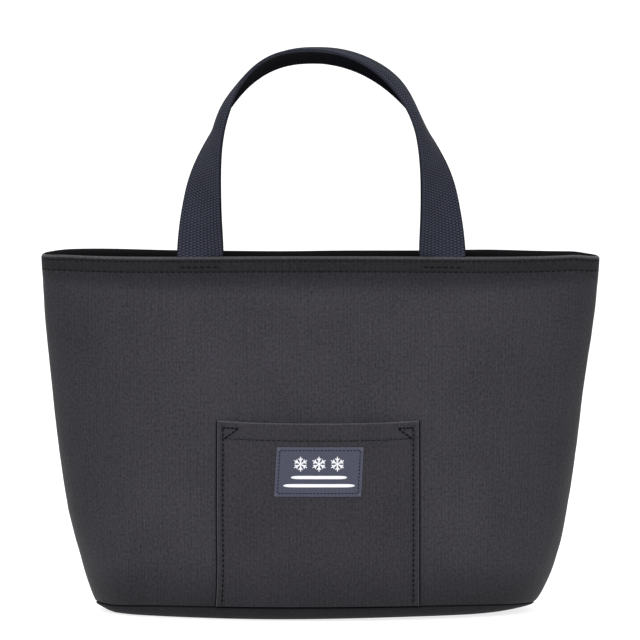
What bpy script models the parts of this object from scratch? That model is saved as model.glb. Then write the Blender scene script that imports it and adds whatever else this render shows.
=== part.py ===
"""Insulated lunch tote: oval base, walls that narrow to a flat wide mouth, recessed zip, two handles.

Metres, +Z up. The bag stands on z = 0 and its front, with the pocket, faces -Y.
"""

import math

import bmesh
import bpy
from mathutils import Vector

# Body, as half sizes of its plan outline, which is an oval of four arcs.
RIM_HEIGHT = 0.193
SEAM_HEIGHT = 0.00675
RIM_HALF_WIDTH = 0.150
SIDE_TAPER = 0.020
SIDE_TAPER_POWER = 1.25
BASE_TUCK = 0.017
BASE_TUCK_HEIGHT = 0.022
RIM_HALF_DEPTH = 0.0225
DEPTH_TAPER = 0.0415
DEPTH_TAPER_POWER = 1.15
DEPTH_TUCK = 0.003
DEPTH_TUCK_HEIGHT = 0.014
RIM_END_RADIUS = 0.009
BASE_END_RADIUS = 0.0433
END_RADIUS_POWER = 1.2

# Layers of the wall, from the outside in.
GAP = 0.0003
FABRIC = 0.0012
FOAM = 0.004
LINING = 0.0008
FOAM_OUT = FABRIC + GAP
FOAM_IN = FOAM_OUT + FOAM
LINING_OUT = FOAM_IN + GAP
LINING_IN = LINING_OUT + LINING

# Rim: the panel folds over it, and a facing covers the inside.
HEM_DEPTH = 0.0265
FOLD_DEPTH = 0.0033
FACING_OUT = FOLD_DEPTH + GAP
FACING_IN = FACING_OUT + LINING
FACING_SLOPE = 0.0038

# Webbing handles.
WEBBING_WIDTH = 0.025
WEBBING_THICKNESS = 0.0018
LEG_OFFSET = 0.065
LEG_Y = 0.0173
APEX_Y = 0.0138
ARCH_HEIGHT = 0.109
ARCH_POWER = 2.5
HANDLE_START = RIM_HEIGHT + 0.0004
HANDLE_AXIS_Y = 0.0212
HANDLE_AXIS_Z = 0.1932
APEX_TWIST = math.radians(100)
TWIST_POWER = 0.7
SEWN_LENGTH = 0.0272
SEWN_OUT = 0.0016
SEWN_IN = 0.0032

# Patch pocket and label.
POCKET_HALF_WIDTH = 0.0555
POCKET_TOP = 0.1055
POCKET_BULGE = 0.008
BULGE_HEIGHT = 0.080
LABEL_HALF_WIDTH = 0.02325
LABEL_HALF_HEIGHT = 0.01325
LABEL_CENTRE = 0.079
LABEL_THICKNESS = 0.0006

# Zip, lying across the mouth.
ZIP_HEIGHT = 0.178
TAPE_THICKNESS = 0.0008
TAPE_HALF_LENGTH = 0.134
TAPE_INNER = 0.0037
TAPE_PARKING_INNER = 0.0053
COIL_HALF_LENGTH = 0.106
COIL_IN = 0.0006
COIL_OUT = 0.0034
COIL_HALF_HEIGHT = 0.0011
TAB_START = 0.122
TAB_END = 0.137
TAB_HALF_WIDTH = 0.0032
SLIDER_X = 0.115
SLIDER_LENGTH = 0.012
SLIDER_HALF_WIDTH = 0.0049
PLATE_THICKNESS = 0.0012
CHANNEL_HALF_HEIGHT = 0.0018
WEB_HALF = 0.0003
FLANGE_IN = 0.0039
TAPE_SLOT_HALF = 0.0007
LUG_LENGTH = 0.0034
LUG_HALF_WIDTH = 0.0014
LUG_HEIGHT = 0.0032
PIN_Z = ZIP_HEIGHT + CHANNEL_HALF_HEIGHT + PLATE_THICKNESS + 0.0018
PIN_RADIUS = 0.00055
EYE_RADIUS = 0.00085
PULL_LENGTH = 0.024
PULL_HALF_WIDTH = 0.0029
FORK_LENGTH = 0.005
FORK_IN = 0.0017
FORK_OUT = 0.0026

# Steps along an outline's end arc and its long arc, and the heights where the walls are cut.
END_STEPS = 5
LONG_STEPS = 14
WALL_LEVELS = (0.0069, 0.012, 0.019, 0.029, 0.044, 0.066, 0.092, 0.118, 0.142, 0.1605)

FRONT = -1
BACK = 1
SIDE_NAMES = {FRONT: "front", BACK: "back"}

COLOURS = {
    "charcoal_knit": (0.048, 0.045, 0.055, 0.85, 0.0),
    "base_knit": (0.020, 0.019, 0.024, 0.85, 0.0),
    "foam": (0.75, 0.75, 0.73, 0.9, 0.0),
    "silver_lining": (0.62, 0.63, 0.64, 0.35, 0.6),
    "black_facing": (0.009, 0.009, 0.011, 0.8, 0.0),
    "navy_webbing": (0.034, 0.037, 0.053, 0.7, 0.0),
    "label": (0.094, 0.098, 0.156, 0.6, 0.0),
    "zip_tape": (0.012, 0.012, 0.014, 0.8, 0.0),
    "zip_coil": (0.02, 0.02, 0.022, 0.4, 0.0),
    "dark_metal": (0.05, 0.05, 0.055, 0.3, 1.0),
}


# ---------------------------------------------------------------- outline


def half_width(z):
    """Half of the bag's outside width at this height."""
    t = z / RIM_HEIGHT
    tuck = BASE_TUCK * math.exp(-z / BASE_TUCK_HEIGHT)
    return RIM_HALF_WIDTH - SIDE_TAPER * max(0.0, 1 - t) ** SIDE_TAPER_POWER - tuck


def half_depth(z):
    """Half of the bag's outside depth at this height."""
    t = z / RIM_HEIGHT
    tuck = DEPTH_TUCK * math.exp(-z / DEPTH_TUCK_HEIGHT)
    return RIM_HALF_DEPTH + DEPTH_TAPER * max(0.0, 1 - t) ** DEPTH_TAPER_POWER - tuck


def end_radius(z):
    """Radius of the arc that rounds the bag's side at this height."""
    t = max(0.0, 1 - z / RIM_HEIGHT) ** END_RADIUS_POWER
    return RIM_END_RADIUS + (BASE_END_RADIUS - RIM_END_RADIUS) * t


def long_radius(z):
    """Radius of the long arc that joins the two end arcs smoothly."""
    a, b, r = half_width(z), half_depth(z), end_radius(z)
    return ((a - r) ** 2 + b * b - r * r) / (2 * (b - r))


def front_outline(z, inset):
    """Points of the outline's front half, from the right side seam round to the left one."""
    z = max(z, SEAM_HEIGHT)
    a, b, r, long_r = half_width(z), half_depth(z), end_radius(z), long_radius(z)
    turn = math.atan2(long_r - b, a - r)
    end = []
    for i in range(END_STEPS):
        angle = turn * i / END_STEPS
        reach = r - inset
        end.append((a - r + reach * math.cos(angle), -reach * math.sin(angle)))
    middle = []
    for i in range(LONG_STEPS + 1):
        angle = turn + (math.pi - 2 * turn) * i / LONG_STEPS
        reach = long_r - inset
        middle.append((reach * math.cos(angle), long_r - b - reach * math.sin(angle)))
    return end + middle + [(-x, y) for x, y in reversed(end)]


def depth_at(x, z, inset):
    """Distance from the middle plane to the wall's surface, on the outline's long arc."""
    long_r = long_radius(z)
    reach = long_r - inset
    return math.sqrt(reach * reach - x * x) - (long_r - half_depth(z))


# ---------------------------------------------------------------- building blocks


def material(name):
    """The named Principled BSDF material, made on first use."""
    found = bpy.data.materials.get(name)
    if found:
        return found
    made = bpy.data.materials.new(name)
    made.use_nodes = True
    red, green, blue, roughness, metallic = COLOURS[name]
    shader = made.node_tree.nodes["Principled BSDF"]
    shader.inputs["Base Color"].default_value = (red, green, blue, 1.0)
    shader.inputs["Roughness"].default_value = roughness
    shader.inputs["Metallic"].default_value = metallic
    return made


def add_object(name, points, faces, slot, origin=(0.0, 0.0, 0.0)):
    """A mesh object from world points, with its origin at the given place."""
    origin = Vector(origin)
    mesh = bpy.data.meshes.new(name)
    mesh.from_pydata([Vector(p) - origin for p in points], [], faces)
    shell = bmesh.new()
    shell.from_mesh(mesh)
    bmesh.ops.recalc_face_normals(shell, faces=shell.faces)
    shell.to_mesh(mesh)
    shell.free()
    mesh.materials.append(material(slot))
    mesh.shade_smooth()
    mesh.set_sharp_from_angle(angle=math.radians(35))
    made = bpy.data.objects.new(name, mesh)
    made.location = origin
    bpy.context.collection.objects.link(made)
    return made


def turned(points, side):
    """Points made for the front, turned half a round about Z for the back."""
    if side == FRONT:
        return list(points)
    return [(-x, -y, z) for x, y, z in points]


def loft_faces(rings, size):
    """Quads between rings of points that close on themselves, with both ends capped."""
    faces = [tuple(range(size))]
    for ring in range(rings - 1):
        low = ring * size
        for i in range(size):
            j = (i + 1) % size
            faces.append((low + j, low + i, low + size + i, low + size + j))
    last = (rings - 1) * size
    faces.append(tuple(last + i for i in reversed(range(size))))
    return faces


def sheet_solid(name, outer, inner, columns, slot):
    """A closed sheet between two grids of points, each given row by row with this many columns."""
    rows = len(outer) // columns
    count = len(outer)
    faces = []
    for row in range(rows - 1):
        for col in range(columns - 1):
            a = row * columns + col
            b, c, d = a + 1, a + columns + 1, a + columns
            faces.append((a, b, c, d))
            faces.append((count + d, count + c, count + b, count + a))
    edge = list(range(columns))
    edge += [row * columns + columns - 1 for row in range(1, rows)]
    edge += [(rows - 1) * columns + col for col in reversed(range(columns - 1))]
    edge += [row * columns for row in reversed(range(1, rows - 1))]
    for a, b in zip(edge, edge[1:] + edge[:1]):
        faces.append((b, a, count + a, count + b))
    return add_object(name, outer + inner, faces, slot)


def box(name, low, high, slot, origin=(0.0, 0.0, 0.0)):
    """A box between two corners."""
    profile = [(low[1], low[2]), (high[1], low[2]), (high[1], high[2]), (low[1], high[2])]
    return bar_along_x(name, profile, low[0], high[0], slot, origin)


def bar_along_x(name, profile, start, end, slot, origin=(0.0, 0.0, 0.0)):
    """A profile of (y, z) points, anticlockwise seen from +X, extruded along X."""
    points = [(x, y, z) for x in (end, start) for y, z in profile]
    return add_object(name, points, loft_faces(2, len(profile)), slot, origin)


def rod_along_y(name, radius, reach, centre, slot, steps=16):
    """A round rod along Y, centred on a point."""
    ring = []
    for i in range(steps):
        angle = 2 * math.pi * i / steps
        ring.append((radius * math.cos(angle), radius * math.sin(angle)))
    points = [
        (centre[0] + x, centre[1] + y, centre[2] + z) for y in (-reach, reach) for x, z in ring
    ]
    return add_object(name, points, loft_faces(2, steps), slot)


def apply_boolean(target, tool, operation):
    """Combine a solid with a tool by an exact Boolean, and remove the tool."""
    change = target.modifiers.new(operation.lower(), "BOOLEAN")
    change.operation = operation
    change.solver = "EXACT"
    change.object = tool
    bpy.context.view_layer.update()
    depsgraph = bpy.context.evaluated_depsgraph_get()
    mesh = bpy.data.meshes.new_from_object(target.evaluated_get(depsgraph))
    target.modifiers.clear()
    target.data = mesh
    bpy.data.objects.remove(tool)


# ---------------------------------------------------------------- walls


def split_rising(face, points):
    """A quad as two triangles, cut from its lowest corner so that every layer is cut alike."""
    low = min(range(4), key=lambda i: (round(points[face[i]][2], 6), face[i]))
    a, b, c, d = face[low:] + face[:low]
    return [(a, b, c), (a, c, d)]


def wall_half(name, profile, slot, side):
    """A profile of (inset, height) points swept round the front or the back half of the bag."""
    outlines = [front_outline(z, inset) for inset, z in profile]
    steps = len(outlines[0])
    points = []
    for i in range(steps):
        for (_, z), outline in zip(profile, outlines):
            x, y = outline[i]
            points.append((x, min(y, -GAP / 2), z))
    faces = []
    for face in loft_faces(steps, len(profile)):
        faces += split_rising(face, points) if len(face) == 4 else [face]
    return add_object(name, turned(points, side), faces, slot)


def layer_profile(outer, inner, levels):
    """The profile of a layer of even thickness, up its outside and down its inside."""
    return [(outer, z) for z in levels] + [(inner, z) for z in reversed(levels)]


def outer_panel(side):
    """The knit panel, folded inwards over the rim, with two slots where the webbing comes out."""
    fold = FABRIC
    levels = WALL_LEVELS + (0.177,)
    profile = [(0.0, z) for z in levels]
    profile += [(0.0, RIM_HEIGHT - fold / 2), (fold / 2, RIM_HEIGHT), (FOLD_DEPTH, RIM_HEIGHT)]
    profile += [(FOLD_DEPTH, RIM_HEIGHT - fold), (fold, RIM_HEIGHT - fold)]
    profile += [(fold, z) for z in reversed(levels)]
    panel = wall_half(f"outer_{SIDE_NAMES[side]}_panel", profile, "charcoal_knit", side)
    for leg in (-1, 1):
        slot = leg_patch("slot_cutter", leg, side, 0.0003, FABRIC + 0.0001, FACING_OUT + 0.001)
        apply_boolean(panel, slot, "DIFFERENCE")
    return panel


def leg_patch(name, leg, side, margin, outer_inset, inner_inset):
    """A piece of webbing's width that follows the wall under the rim, at one leg of a handle."""
    low = RIM_HEIGHT - SEWN_LENGTH + (0.02 if margin else 0.0)
    high = RIM_HEIGHT + (0.002 if margin else 0.0001)
    half = WEBBING_WIDTH / 2 + margin
    columns = [leg * LEG_OFFSET + half * u for u in (-1, -0.5, 0, 0.5, 1)]
    grids = []
    for inset in (outer_inset, inner_inset):
        grids.append([(x, -depth_at(x, z, inset), z) for z in (low, high) for x in columns])
    outer, inner = (turned(grid, side) for grid in grids)
    return sheet_solid(name, outer, inner, len(columns), "navy_webbing")


def handle_ends(side):
    """The two sewn-in ends of a handle, between the panel and the facing."""
    for leg in (-1, 1):
        hand = "left" if leg * -side < 0 else "right"
        name = f"{SIDE_NAMES[side]}_handle_end_{hand}"
        leg_patch(name, leg, side, 0.0, SEWN_OUT, SEWN_IN)


def insulation(side):
    """The foam, thinned where it goes under the hem."""
    top = RIM_HEIGHT - SEWN_LENGTH - 0.0004
    profile = [(FOAM_OUT, z) for z in WALL_LEVELS] + [(FOAM_OUT, top), (FOLD_DEPTH, top)]
    profile += [(FOAM_IN, z) for z in reversed(WALL_LEVELS)]
    wall_half(f"{SIDE_NAMES[side]}_insulation", profile, "foam", side)


def lining(side):
    """The wipe-clean inner lining."""
    profile = layer_profile(LINING_OUT, LINING_IN, WALL_LEVELS)
    wall_half(f"{SIDE_NAMES[side]}_lining", profile, "silver_lining", side)


def rim_facing(side):
    """The facing inside the mouth, sloping in to meet the top of the lining."""
    bend = RIM_HEIGHT - HEM_DEPTH
    foot = bend - FACING_SLOPE
    end = WALL_LEVELS[-1] + GAP
    profile = [(LINING_OUT, end), (LINING_OUT, foot), (FACING_OUT, bend), (FACING_OUT, RIM_HEIGHT)]
    profile += [(FACING_IN, RIM_HEIGHT), (FACING_IN, bend), (LINING_IN, foot), (LINING_IN, end)]
    wall_half(f"{SIDE_NAMES[side]}_rim_facing", profile, "black_facing", side)


# ---------------------------------------------------------------- base


def base_ring(name, profile, slot):
    """A profile of (inset, height) points as rings round the whole base, capped at both ends."""
    points = []
    for inset, z in profile:
        front = front_outline(SEAM_HEIGHT, inset)
        ring = front + [(-x, -y) for x, y in front[1:-1]]
        points += [(x, y, z) for x, y in ring]
    size = 2 * (2 * END_STEPS + LONG_STEPS)
    return add_object(name, points, loft_faces(len(profile), size), slot)


def outer_base():
    """The outer base panel, a shallow tray whose edge shows as a band below the base seam."""
    top = SEAM_HEIGHT - GAP / 2
    rim = FABRIC
    outside = [(0.0055, 0.0), (0.0028, 0.0006), (0.0009, 0.0022), (0.0, 0.0045), (0.0, top)]
    inside = [(rim, top), (rim, 0.005), (0.0020, 0.0030), (0.0035, 0.0016), (0.0060, FABRIC)]
    base_ring("outer_base_panel", outside + inside, "base_knit")


def base_insulation():
    """The foam sheet that lies in the base tray."""
    low = FABRIC + GAP
    high = low + FOAM
    profile = [(0.0064, low), (0.0040, 0.0019), (0.0024, 0.0032), (FOAM_OUT, 0.0050)]
    base_ring("base_insulation", profile + [(FOAM_OUT, high)], "foam")


def base_lining():
    """The lining of the bag's floor."""
    low = FABRIC + FOAM + 2 * GAP
    base_ring("base_lining", [(FOAM_OUT, low), (FOAM_OUT, low + LINING)], "silver_lining")


# ---------------------------------------------------------------- pocket and label


def pocket_gap(x, z):
    """How far the pocket stands off the wall: sewn at its sides and foot, open at its top."""
    across = 1 - (x / POCKET_HALF_WIDTH) ** 4
    rise = min(1.0, max(0.0, (z - SEAM_HEIGHT) / (BULGE_HEIGHT - SEAM_HEIGHT)))
    return GAP + POCKET_BULGE * across * rise


def patch_on_pocket(name, half_size, centre, lift, thickness, steps, slot):
    """A sheet that follows the pocket's bulge, lifted this far off the wall."""
    columns = [half_size[0] * (2 * i / steps[0] - 1) for i in range(steps[0] + 1)]
    rows = [centre + half_size[1] * (2 * i / steps[1] - 1) for i in range(steps[1] + 1)]
    grids = []
    for extra in (lift + thickness, lift):
        grid = []
        for z in rows:
            for x in columns:
                y = -depth_at(x, z, 0.0) - pocket_gap(x, z) - extra
                grid.append((x, y, z))
        grids.append(grid)
    return sheet_solid(name, grids[0], grids[1], len(columns), slot)


def front_pocket():
    """The patch pocket, from the base seam to its hem."""
    bottom = WALL_LEVELS[0]
    half_size = (POCKET_HALF_WIDTH, (POCKET_TOP - bottom) / 2)
    centre = (POCKET_TOP + bottom) / 2
    patch_on_pocket("front_pocket", half_size, centre, 0.0, FABRIC, (14, 10), "charcoal_knit")


def front_label():
    """The woven label on the pocket."""
    half_size = (LABEL_HALF_WIDTH, LABEL_HALF_HEIGHT)
    lift = FABRIC + GAP
    patch_on_pocket(
        "front_label", half_size, LABEL_CENTRE, lift, LABEL_THICKNESS, (6, 4), "label"
    )


# ---------------------------------------------------------------- handles


def signed_power(value, power):
    return math.copysign(abs(value) ** power, value)


def arch_point(angle):
    """The handle's centre line: legs that go straight up into a round top, leaning inwards."""
    x = LEG_OFFSET * signed_power(math.cos(angle), 2 / ARCH_POWER)
    t = abs(math.sin(angle)) ** (2 / ARCH_POWER)
    y = -LEG_Y + (LEG_Y - APEX_Y) * t**1.5
    return Vector((x, y, HANDLE_START + ARCH_HEIGHT * t)), t


def webbing_section(angle):
    """Four corners of the webbing, which turns from facing the front to facing up."""
    step = 0.01
    before, _ = arch_point(max(0.0, angle - step))
    after, _ = arch_point(min(math.pi, angle + step))
    centre, t = arch_point(angle)
    along = after - before
    outward = Vector((along.z, 0.0, -along.x)).normalized()
    forward = Vector((0.0, -1.0, 0.0))
    twist = APEX_TWIST * t**TWIST_POWER
    across = outward * math.cos(twist) - forward * math.sin(twist)
    face = forward * math.cos(twist) + outward * math.sin(twist)
    across *= WEBBING_WIDTH / 2
    face *= WEBBING_THICKNESS / 2
    return [centre + across + face, centre - across + face, centre - across - face,
            centre + across - face]


def handle(side, steps=44):
    """One webbing handle, with its origin on the axis along the rim about which it falls."""
    points = []
    for i in range(steps + 1):
        # Closer sections near the legs, where the centre line leaves its start quickly.
        share = i / steps
        angle = math.pi * (share - 0.09 * math.sin(2 * math.pi * share))
        points += [tuple(corner) for corner in webbing_section(angle)]
    origin = (0.0, side * HANDLE_AXIS_Y, HANDLE_AXIS_Z)
    name = f"{SIDE_NAMES[side]}_handle"
    add_object(name, turned(points, side), loft_faces(steps + 1, 4), "navy_webbing", origin)


# ---------------------------------------------------------------- zip


def zip_tape(side, steps=24):
    """One zip tape, from the facing to the coil, cut back where the slider parks."""
    xs = [TAPE_HALF_LENGTH * (1 - 2 * i / steps) for i in range(steps + 1)]
    parking = COIL_HALF_LENGTH + 0.0015
    xs = sorted(xs + [parking, parking - 1e-4, -parking, -parking + 1e-4])
    grids = []
    for z in (ZIP_HEIGHT - TAPE_THICKNESS / 2, ZIP_HEIGHT + TAPE_THICKNESS / 2):
        rows = [(x, -depth_at(x, ZIP_HEIGHT, FACING_IN + GAP), z) for x in xs]
        for x in xs:
            inner = TAPE_INNER if abs(x) < parking else TAPE_PARKING_INNER
            rows.append((x, -inner, z))
        grids.append(turned(rows, side))
    name = f"zip_tape_{SIDE_NAMES[side]}"
    sheet_solid(name, grids[1], grids[0], len(xs), "zip_tape")


def zip_coil(side):
    """One half of the closed zip chain, as a bar."""
    ease = 0.0006
    low, high = ZIP_HEIGHT - COIL_HALF_HEIGHT, ZIP_HEIGHT + COIL_HALF_HEIGHT
    profile = [(COIL_IN, low), (COIL_OUT - ease, low), (COIL_OUT, low + ease),
               (COIL_OUT, high - ease), (COIL_OUT - ease, high), (COIL_IN, high)]
    if side == FRONT:
        profile = [(-y, z) for y, z in reversed(profile)]
    name = f"zip_coil_{SIDE_NAMES[side]}"
    bar_along_x(name, profile, -COIL_HALF_LENGTH, COIL_HALF_LENGTH, "zip_coil")


def zip_end_tabs():
    """The tab across each end of the zip, one at each side of the bag."""
    low, high = ZIP_HEIGHT - TAPE_THICKNESS, ZIP_HEIGHT + TAPE_THICKNESS
    for hand, start, end in (("left", -TAB_END, -TAB_START), ("right", TAB_START, TAB_END)):
        near = (start, -TAB_HALF_WIDTH, low)
        far = (end, TAB_HALF_WIDTH, high)
        box(f"zip_end_tab_{hand}", near, far, "zip_tape")


def slider_profile():
    """The slider's section: two plates joined by a web between the coils, with edge flanges."""
    inner = CHANNEL_HALF_HEIGHT
    outer = inner + PLATE_THICKNESS
    quarter = [(SLIDER_HALF_WIDTH, TAPE_SLOT_HALF), (SLIDER_HALF_WIDTH, outer)]
    back = [(FLANGE_IN, TAPE_SLOT_HALF), (FLANGE_IN, inner), (WEB_HALF, inner)]
    right_top = quarter
    left_top = [(-y, z) for y, z in reversed(quarter)]
    left_in_top = [(-y, z) for y, z in back]
    left_in_low = [(-y, -z) for y, z in reversed(back)]
    left_low = [(-y, -z) for y, z in quarter]
    right_low = [(y, -z) for y, z in reversed(quarter)]
    right_in_low = [(y, -z) for y, z in back]
    right_in_top = list(reversed(back))
    loop = right_top + left_top + left_in_top + left_in_low
    loop += left_low + right_low + right_in_low + right_in_top
    return [(y, z + ZIP_HEIGHT) for y, z in loop]


def zip_slider():
    """The slider body, with the drilled lug that carries the pull."""
    half = SLIDER_LENGTH / 2
    start, end = SLIDER_X - half, SLIDER_X + half
    origin = (SLIDER_X, 0.0, ZIP_HEIGHT)
    body = bar_along_x("zip_slider", slider_profile(), start, end, "dark_metal", origin)
    plate_top = ZIP_HEIGHT + CHANNEL_HALF_HEIGHT + PLATE_THICKNESS
    low = (SLIDER_X - LUG_LENGTH / 2, -LUG_HALF_WIDTH, plate_top - 0.0004)
    high = (SLIDER_X + LUG_LENGTH / 2, LUG_HALF_WIDTH, plate_top + LUG_HEIGHT)
    apply_boolean(body, box("lug", low, high, "dark_metal"), "UNION")
    eye = rod_along_y("eye", EYE_RADIUS, 0.004, (SLIDER_X, 0.0, PIN_Z), "dark_metal")
    apply_boolean(body, eye, "DIFFERENCE")


def zip_pull():
    """The pull: a tab with a fork and the pin that turns in the slider's lug."""
    origin = (SLIDER_X, 0.0, PIN_Z)
    thin, thick = 0.0006, 0.0007
    fork_end = SLIDER_X - FORK_LENGTH
    pull = box("zip_pull", (SLIDER_X - PULL_LENGTH, -PULL_HALF_WIDTH, PIN_Z - thick),
               (fork_end, PULL_HALF_WIDTH, PIN_Z + thick), "dark_metal", origin)
    for hand in (-1, 1):
        sides = sorted((hand * FORK_IN, hand * FORK_OUT))
        low = (fork_end - 0.0005, sides[0], PIN_Z - thin)
        high = (SLIDER_X + 0.0009, sides[1], PIN_Z + thin)
        apply_boolean(pull, box("fork", low, high, "dark_metal"), "UNION")
    pin = rod_along_y("pin", PIN_RADIUS, FORK_OUT - 0.0003, origin, "dark_metal", 12)
    apply_boolean(pull, pin, "UNION")


# ---------------------------------------------------------------- assembly


def clear_scene():
    for old in list(bpy.data.objects):
        bpy.data.objects.remove(old)


def main():
    clear_scene()
    outer_base()
    base_insulation()
    base_lining()
    for side in (FRONT, BACK):
        outer_panel(side)
        insulation(side)
        lining(side)
        rim_facing(side)
        handle_ends(side)
        handle(side)
        zip_tape(side)
        zip_coil(side)
    front_pocket()
    front_label()
    zip_end_tabs()
    zip_slider()
    zip_pull()


main()
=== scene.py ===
# Looks of the insulated lunch tote. Metres, +Z up; the bag's front, with the pocket, faces -Y.

import math

import bpy
import numpy as np
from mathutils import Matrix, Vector


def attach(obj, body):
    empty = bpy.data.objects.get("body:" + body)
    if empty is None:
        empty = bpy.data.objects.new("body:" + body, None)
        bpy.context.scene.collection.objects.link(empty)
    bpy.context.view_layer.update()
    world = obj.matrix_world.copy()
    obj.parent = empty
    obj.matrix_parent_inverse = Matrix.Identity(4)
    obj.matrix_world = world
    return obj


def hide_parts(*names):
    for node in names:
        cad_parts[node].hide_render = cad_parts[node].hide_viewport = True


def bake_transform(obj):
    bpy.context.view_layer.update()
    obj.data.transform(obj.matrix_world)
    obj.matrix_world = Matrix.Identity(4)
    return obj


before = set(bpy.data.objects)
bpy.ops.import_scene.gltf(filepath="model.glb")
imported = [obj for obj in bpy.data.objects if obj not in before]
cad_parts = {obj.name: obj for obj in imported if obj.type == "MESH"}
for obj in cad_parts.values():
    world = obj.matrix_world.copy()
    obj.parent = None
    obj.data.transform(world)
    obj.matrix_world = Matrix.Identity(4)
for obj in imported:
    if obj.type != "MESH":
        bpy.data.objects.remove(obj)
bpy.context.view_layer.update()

# Body sizes, as in the CAD source: half sizes of a plan outline of four arcs.
RIM_HEIGHT = 0.193
SEAM_HEIGHT = 0.00675
RIM_HALF_WIDTH = 0.150
SIDE_TAPER = 0.020
SIDE_TAPER_POWER = 1.25
BASE_TUCK = 0.017
BASE_TUCK_HEIGHT = 0.022
RIM_HALF_DEPTH = 0.0225
DEPTH_TAPER = 0.0415
DEPTH_TAPER_POWER = 1.15
DEPTH_TUCK = 0.003
DEPTH_TUCK_HEIGHT = 0.014
RIM_END_RADIUS = 0.009
BASE_END_RADIUS = 0.0433
END_RADIUS_POWER = 1.2

# Rim: a rolled edge, an edge stitch, and the hem's stitch row.
ROLL_RADIUS = 0.00165
EDGE_STITCH_Z = RIM_HEIGHT - 0.0026
HEM_STITCH_Z = RIM_HEIGHT - 0.0082
HEM_RAISE = 0.00035
GROOVE_DEPTH = 0.0004
GROOVE_WIDTH = 0.00065
SHELL_INNER = 0.0013
FOLD_END = RIM_HEIGHT - 0.0045
TUCK_Z = 0.0042

# Facing and lining, as insets from the outside.
FACING_OUT = 0.0036
FACING_IN = 0.0044
FACING_BEND = RIM_HEIGHT - 0.0265
FACING_FOOT = FACING_BEND - 0.0038
FACING_END = 0.1608
LINING_OUT = 0.0058
LINING_IN = 0.0066

# Webbing handles.
WEBBING_WIDTH = 0.0246
WEBBING_THICKNESS = 0.0018
LEG_OFFSET = 0.065
LEG_SHIFT = 0.0004
LEG_Y = 0.0173
APEX_Y = 0.0138
ARCH_HEIGHT = 0.1074
ARCH_POWER = 2.35
HANDLE_START = 0.1934
TWIST = math.radians(90)
TWIST_POWER = 0.68
TURN_OVER = math.radians(17)
SEWN_LENGTH = 0.0268
SEWN_MIDDLE = 0.0024

# Pocket and label.
POCKET_HALF_WIDTH = 0.0535
POCKET_X = -0.0011
POCKET_TOP = 0.1053
POCKET_BULGE = 0.008
BULGE_HEIGHT = 0.080
FABRIC = 0.0012
LABEL_HALF_WIDTH = 0.0227
LABEL_HALF_HEIGHT = 0.0129
LABEL_CENTRE = (-0.0008, 0.079)
LABEL_SKEW = 0.0007
LABEL_THICKNESS = 0.0006

# Zip.
ZIP_HEIGHT = 0.178
COIL_HALF_LENGTH = 0.106
COIL_OUT = 0.0034
TAPE_HALF_LENGTH = 0.134
TEETH_PITCH = 0.0014
SLIDER_X = 0.115
PIN_Z = 0.1828

FRONT, BACK = -1, 1
SIDE_NAMES = {FRONT: "front", BACK: "back"}
HAND_NAMES = {-1: "left", 1: "right"}


# ---------------------------------------------------------------- the wall as a surface


def sizes(z):
    """Half width, half depth, end radius, long radius and the angle where the two arcs meet."""
    z = np.maximum(z, SEAM_HEIGHT)
    t = np.clip(1 - z / RIM_HEIGHT, 0, None)
    a = RIM_HALF_WIDTH - SIDE_TAPER * t**SIDE_TAPER_POWER - BASE_TUCK * np.exp(-z / BASE_TUCK_HEIGHT)
    b = RIM_HALF_DEPTH + DEPTH_TAPER * t**DEPTH_TAPER_POWER
    b = b - DEPTH_TUCK * np.exp(-z / DEPTH_TUCK_HEIGHT)
    r = RIM_END_RADIUS + (BASE_END_RADIUS - RIM_END_RADIUS) * t**END_RADIUS_POWER
    long_r = ((a - r) ** 2 + b * b - r * r) / (2 * (b - r))
    return a, b, r, long_r, np.arctan2(long_r - b, a - r)


def reach_of(z):
    """Distance along the outline from the middle of a wall to its side seam."""
    _, _, r, long_r, turn = sizes(z)
    return long_r * (math.pi / 2 - turn) + r * turn


def wall(h, z, proud=0.0):
    """Points of the front wall. h runs from -1 at the left side seam to 1 at the right one."""
    h, z, proud = np.broadcast_arrays(np.asarray(h, float), np.asarray(z, float), np.asarray(proud, float))
    a, b, r, long_r, turn = sizes(z)
    long_arc = long_r * (math.pi / 2 - turn)
    reach = np.abs(h) * (long_arc + r * turn)
    on_long = reach <= long_arc
    angle = np.where(on_long, math.pi / 2 - reach / long_r, turn - (reach - long_arc) / r)
    radius = np.where(on_long, long_r, r) + proud
    x = np.where(on_long, 0.0, a - r) + radius * np.cos(angle)
    y = np.where(on_long, long_r - b, 0.0) - radius * np.sin(angle)
    return np.stack([np.sign(h) * x, y, z], -1)


def share_at(x, z):
    """The h of the point at this x and height, on the outline's long arc."""
    _, _, _, long_r, _ = sizes(z)
    return long_r * np.arcsin(np.clip(x / long_r, -1, 1)) / reach_of(z)


def bell(value, width):
    return np.exp(-((value / width) ** 2))


def smooth(value):
    value = np.clip(value, 0, 1)
    return value * value * (3 - 2 * value)


def turned(points, side):
    """Points made for the front, turned half a round about Z for the back."""
    return points if side == FRONT else points * np.array([-1.0, -1.0, 1.0])


# How the bag settles: it leans to the left a little, more at its foot; the rim sags behind its corners;
# the seam rides up in front and the foot's two ends lift.
LEAN_WALL = 0.0016
LEAN_FOOT = 0.0036
DRAWN_IN = 0.0012
FRONT_SAG = 0.0023
FRONT_ARCH = 0.0012
BACK_SAG = 0.0004
BACK_WAVES = ((-0.122, 0.036, 0.0014), (0.090, 0.024, 0.0007), (-0.022, 0.028, -0.0004))
CORNER_DROP = {-1: 0.0008, 1: 0.0018}
SEAM_LIFT = 0.0012
SEAM_DROP = 0.0024
FOOT_TILT = 0.0010
CORNER_LIFT = {-1: (0.0027, 0.8), 1: (0.0015, 0.45)}


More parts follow.
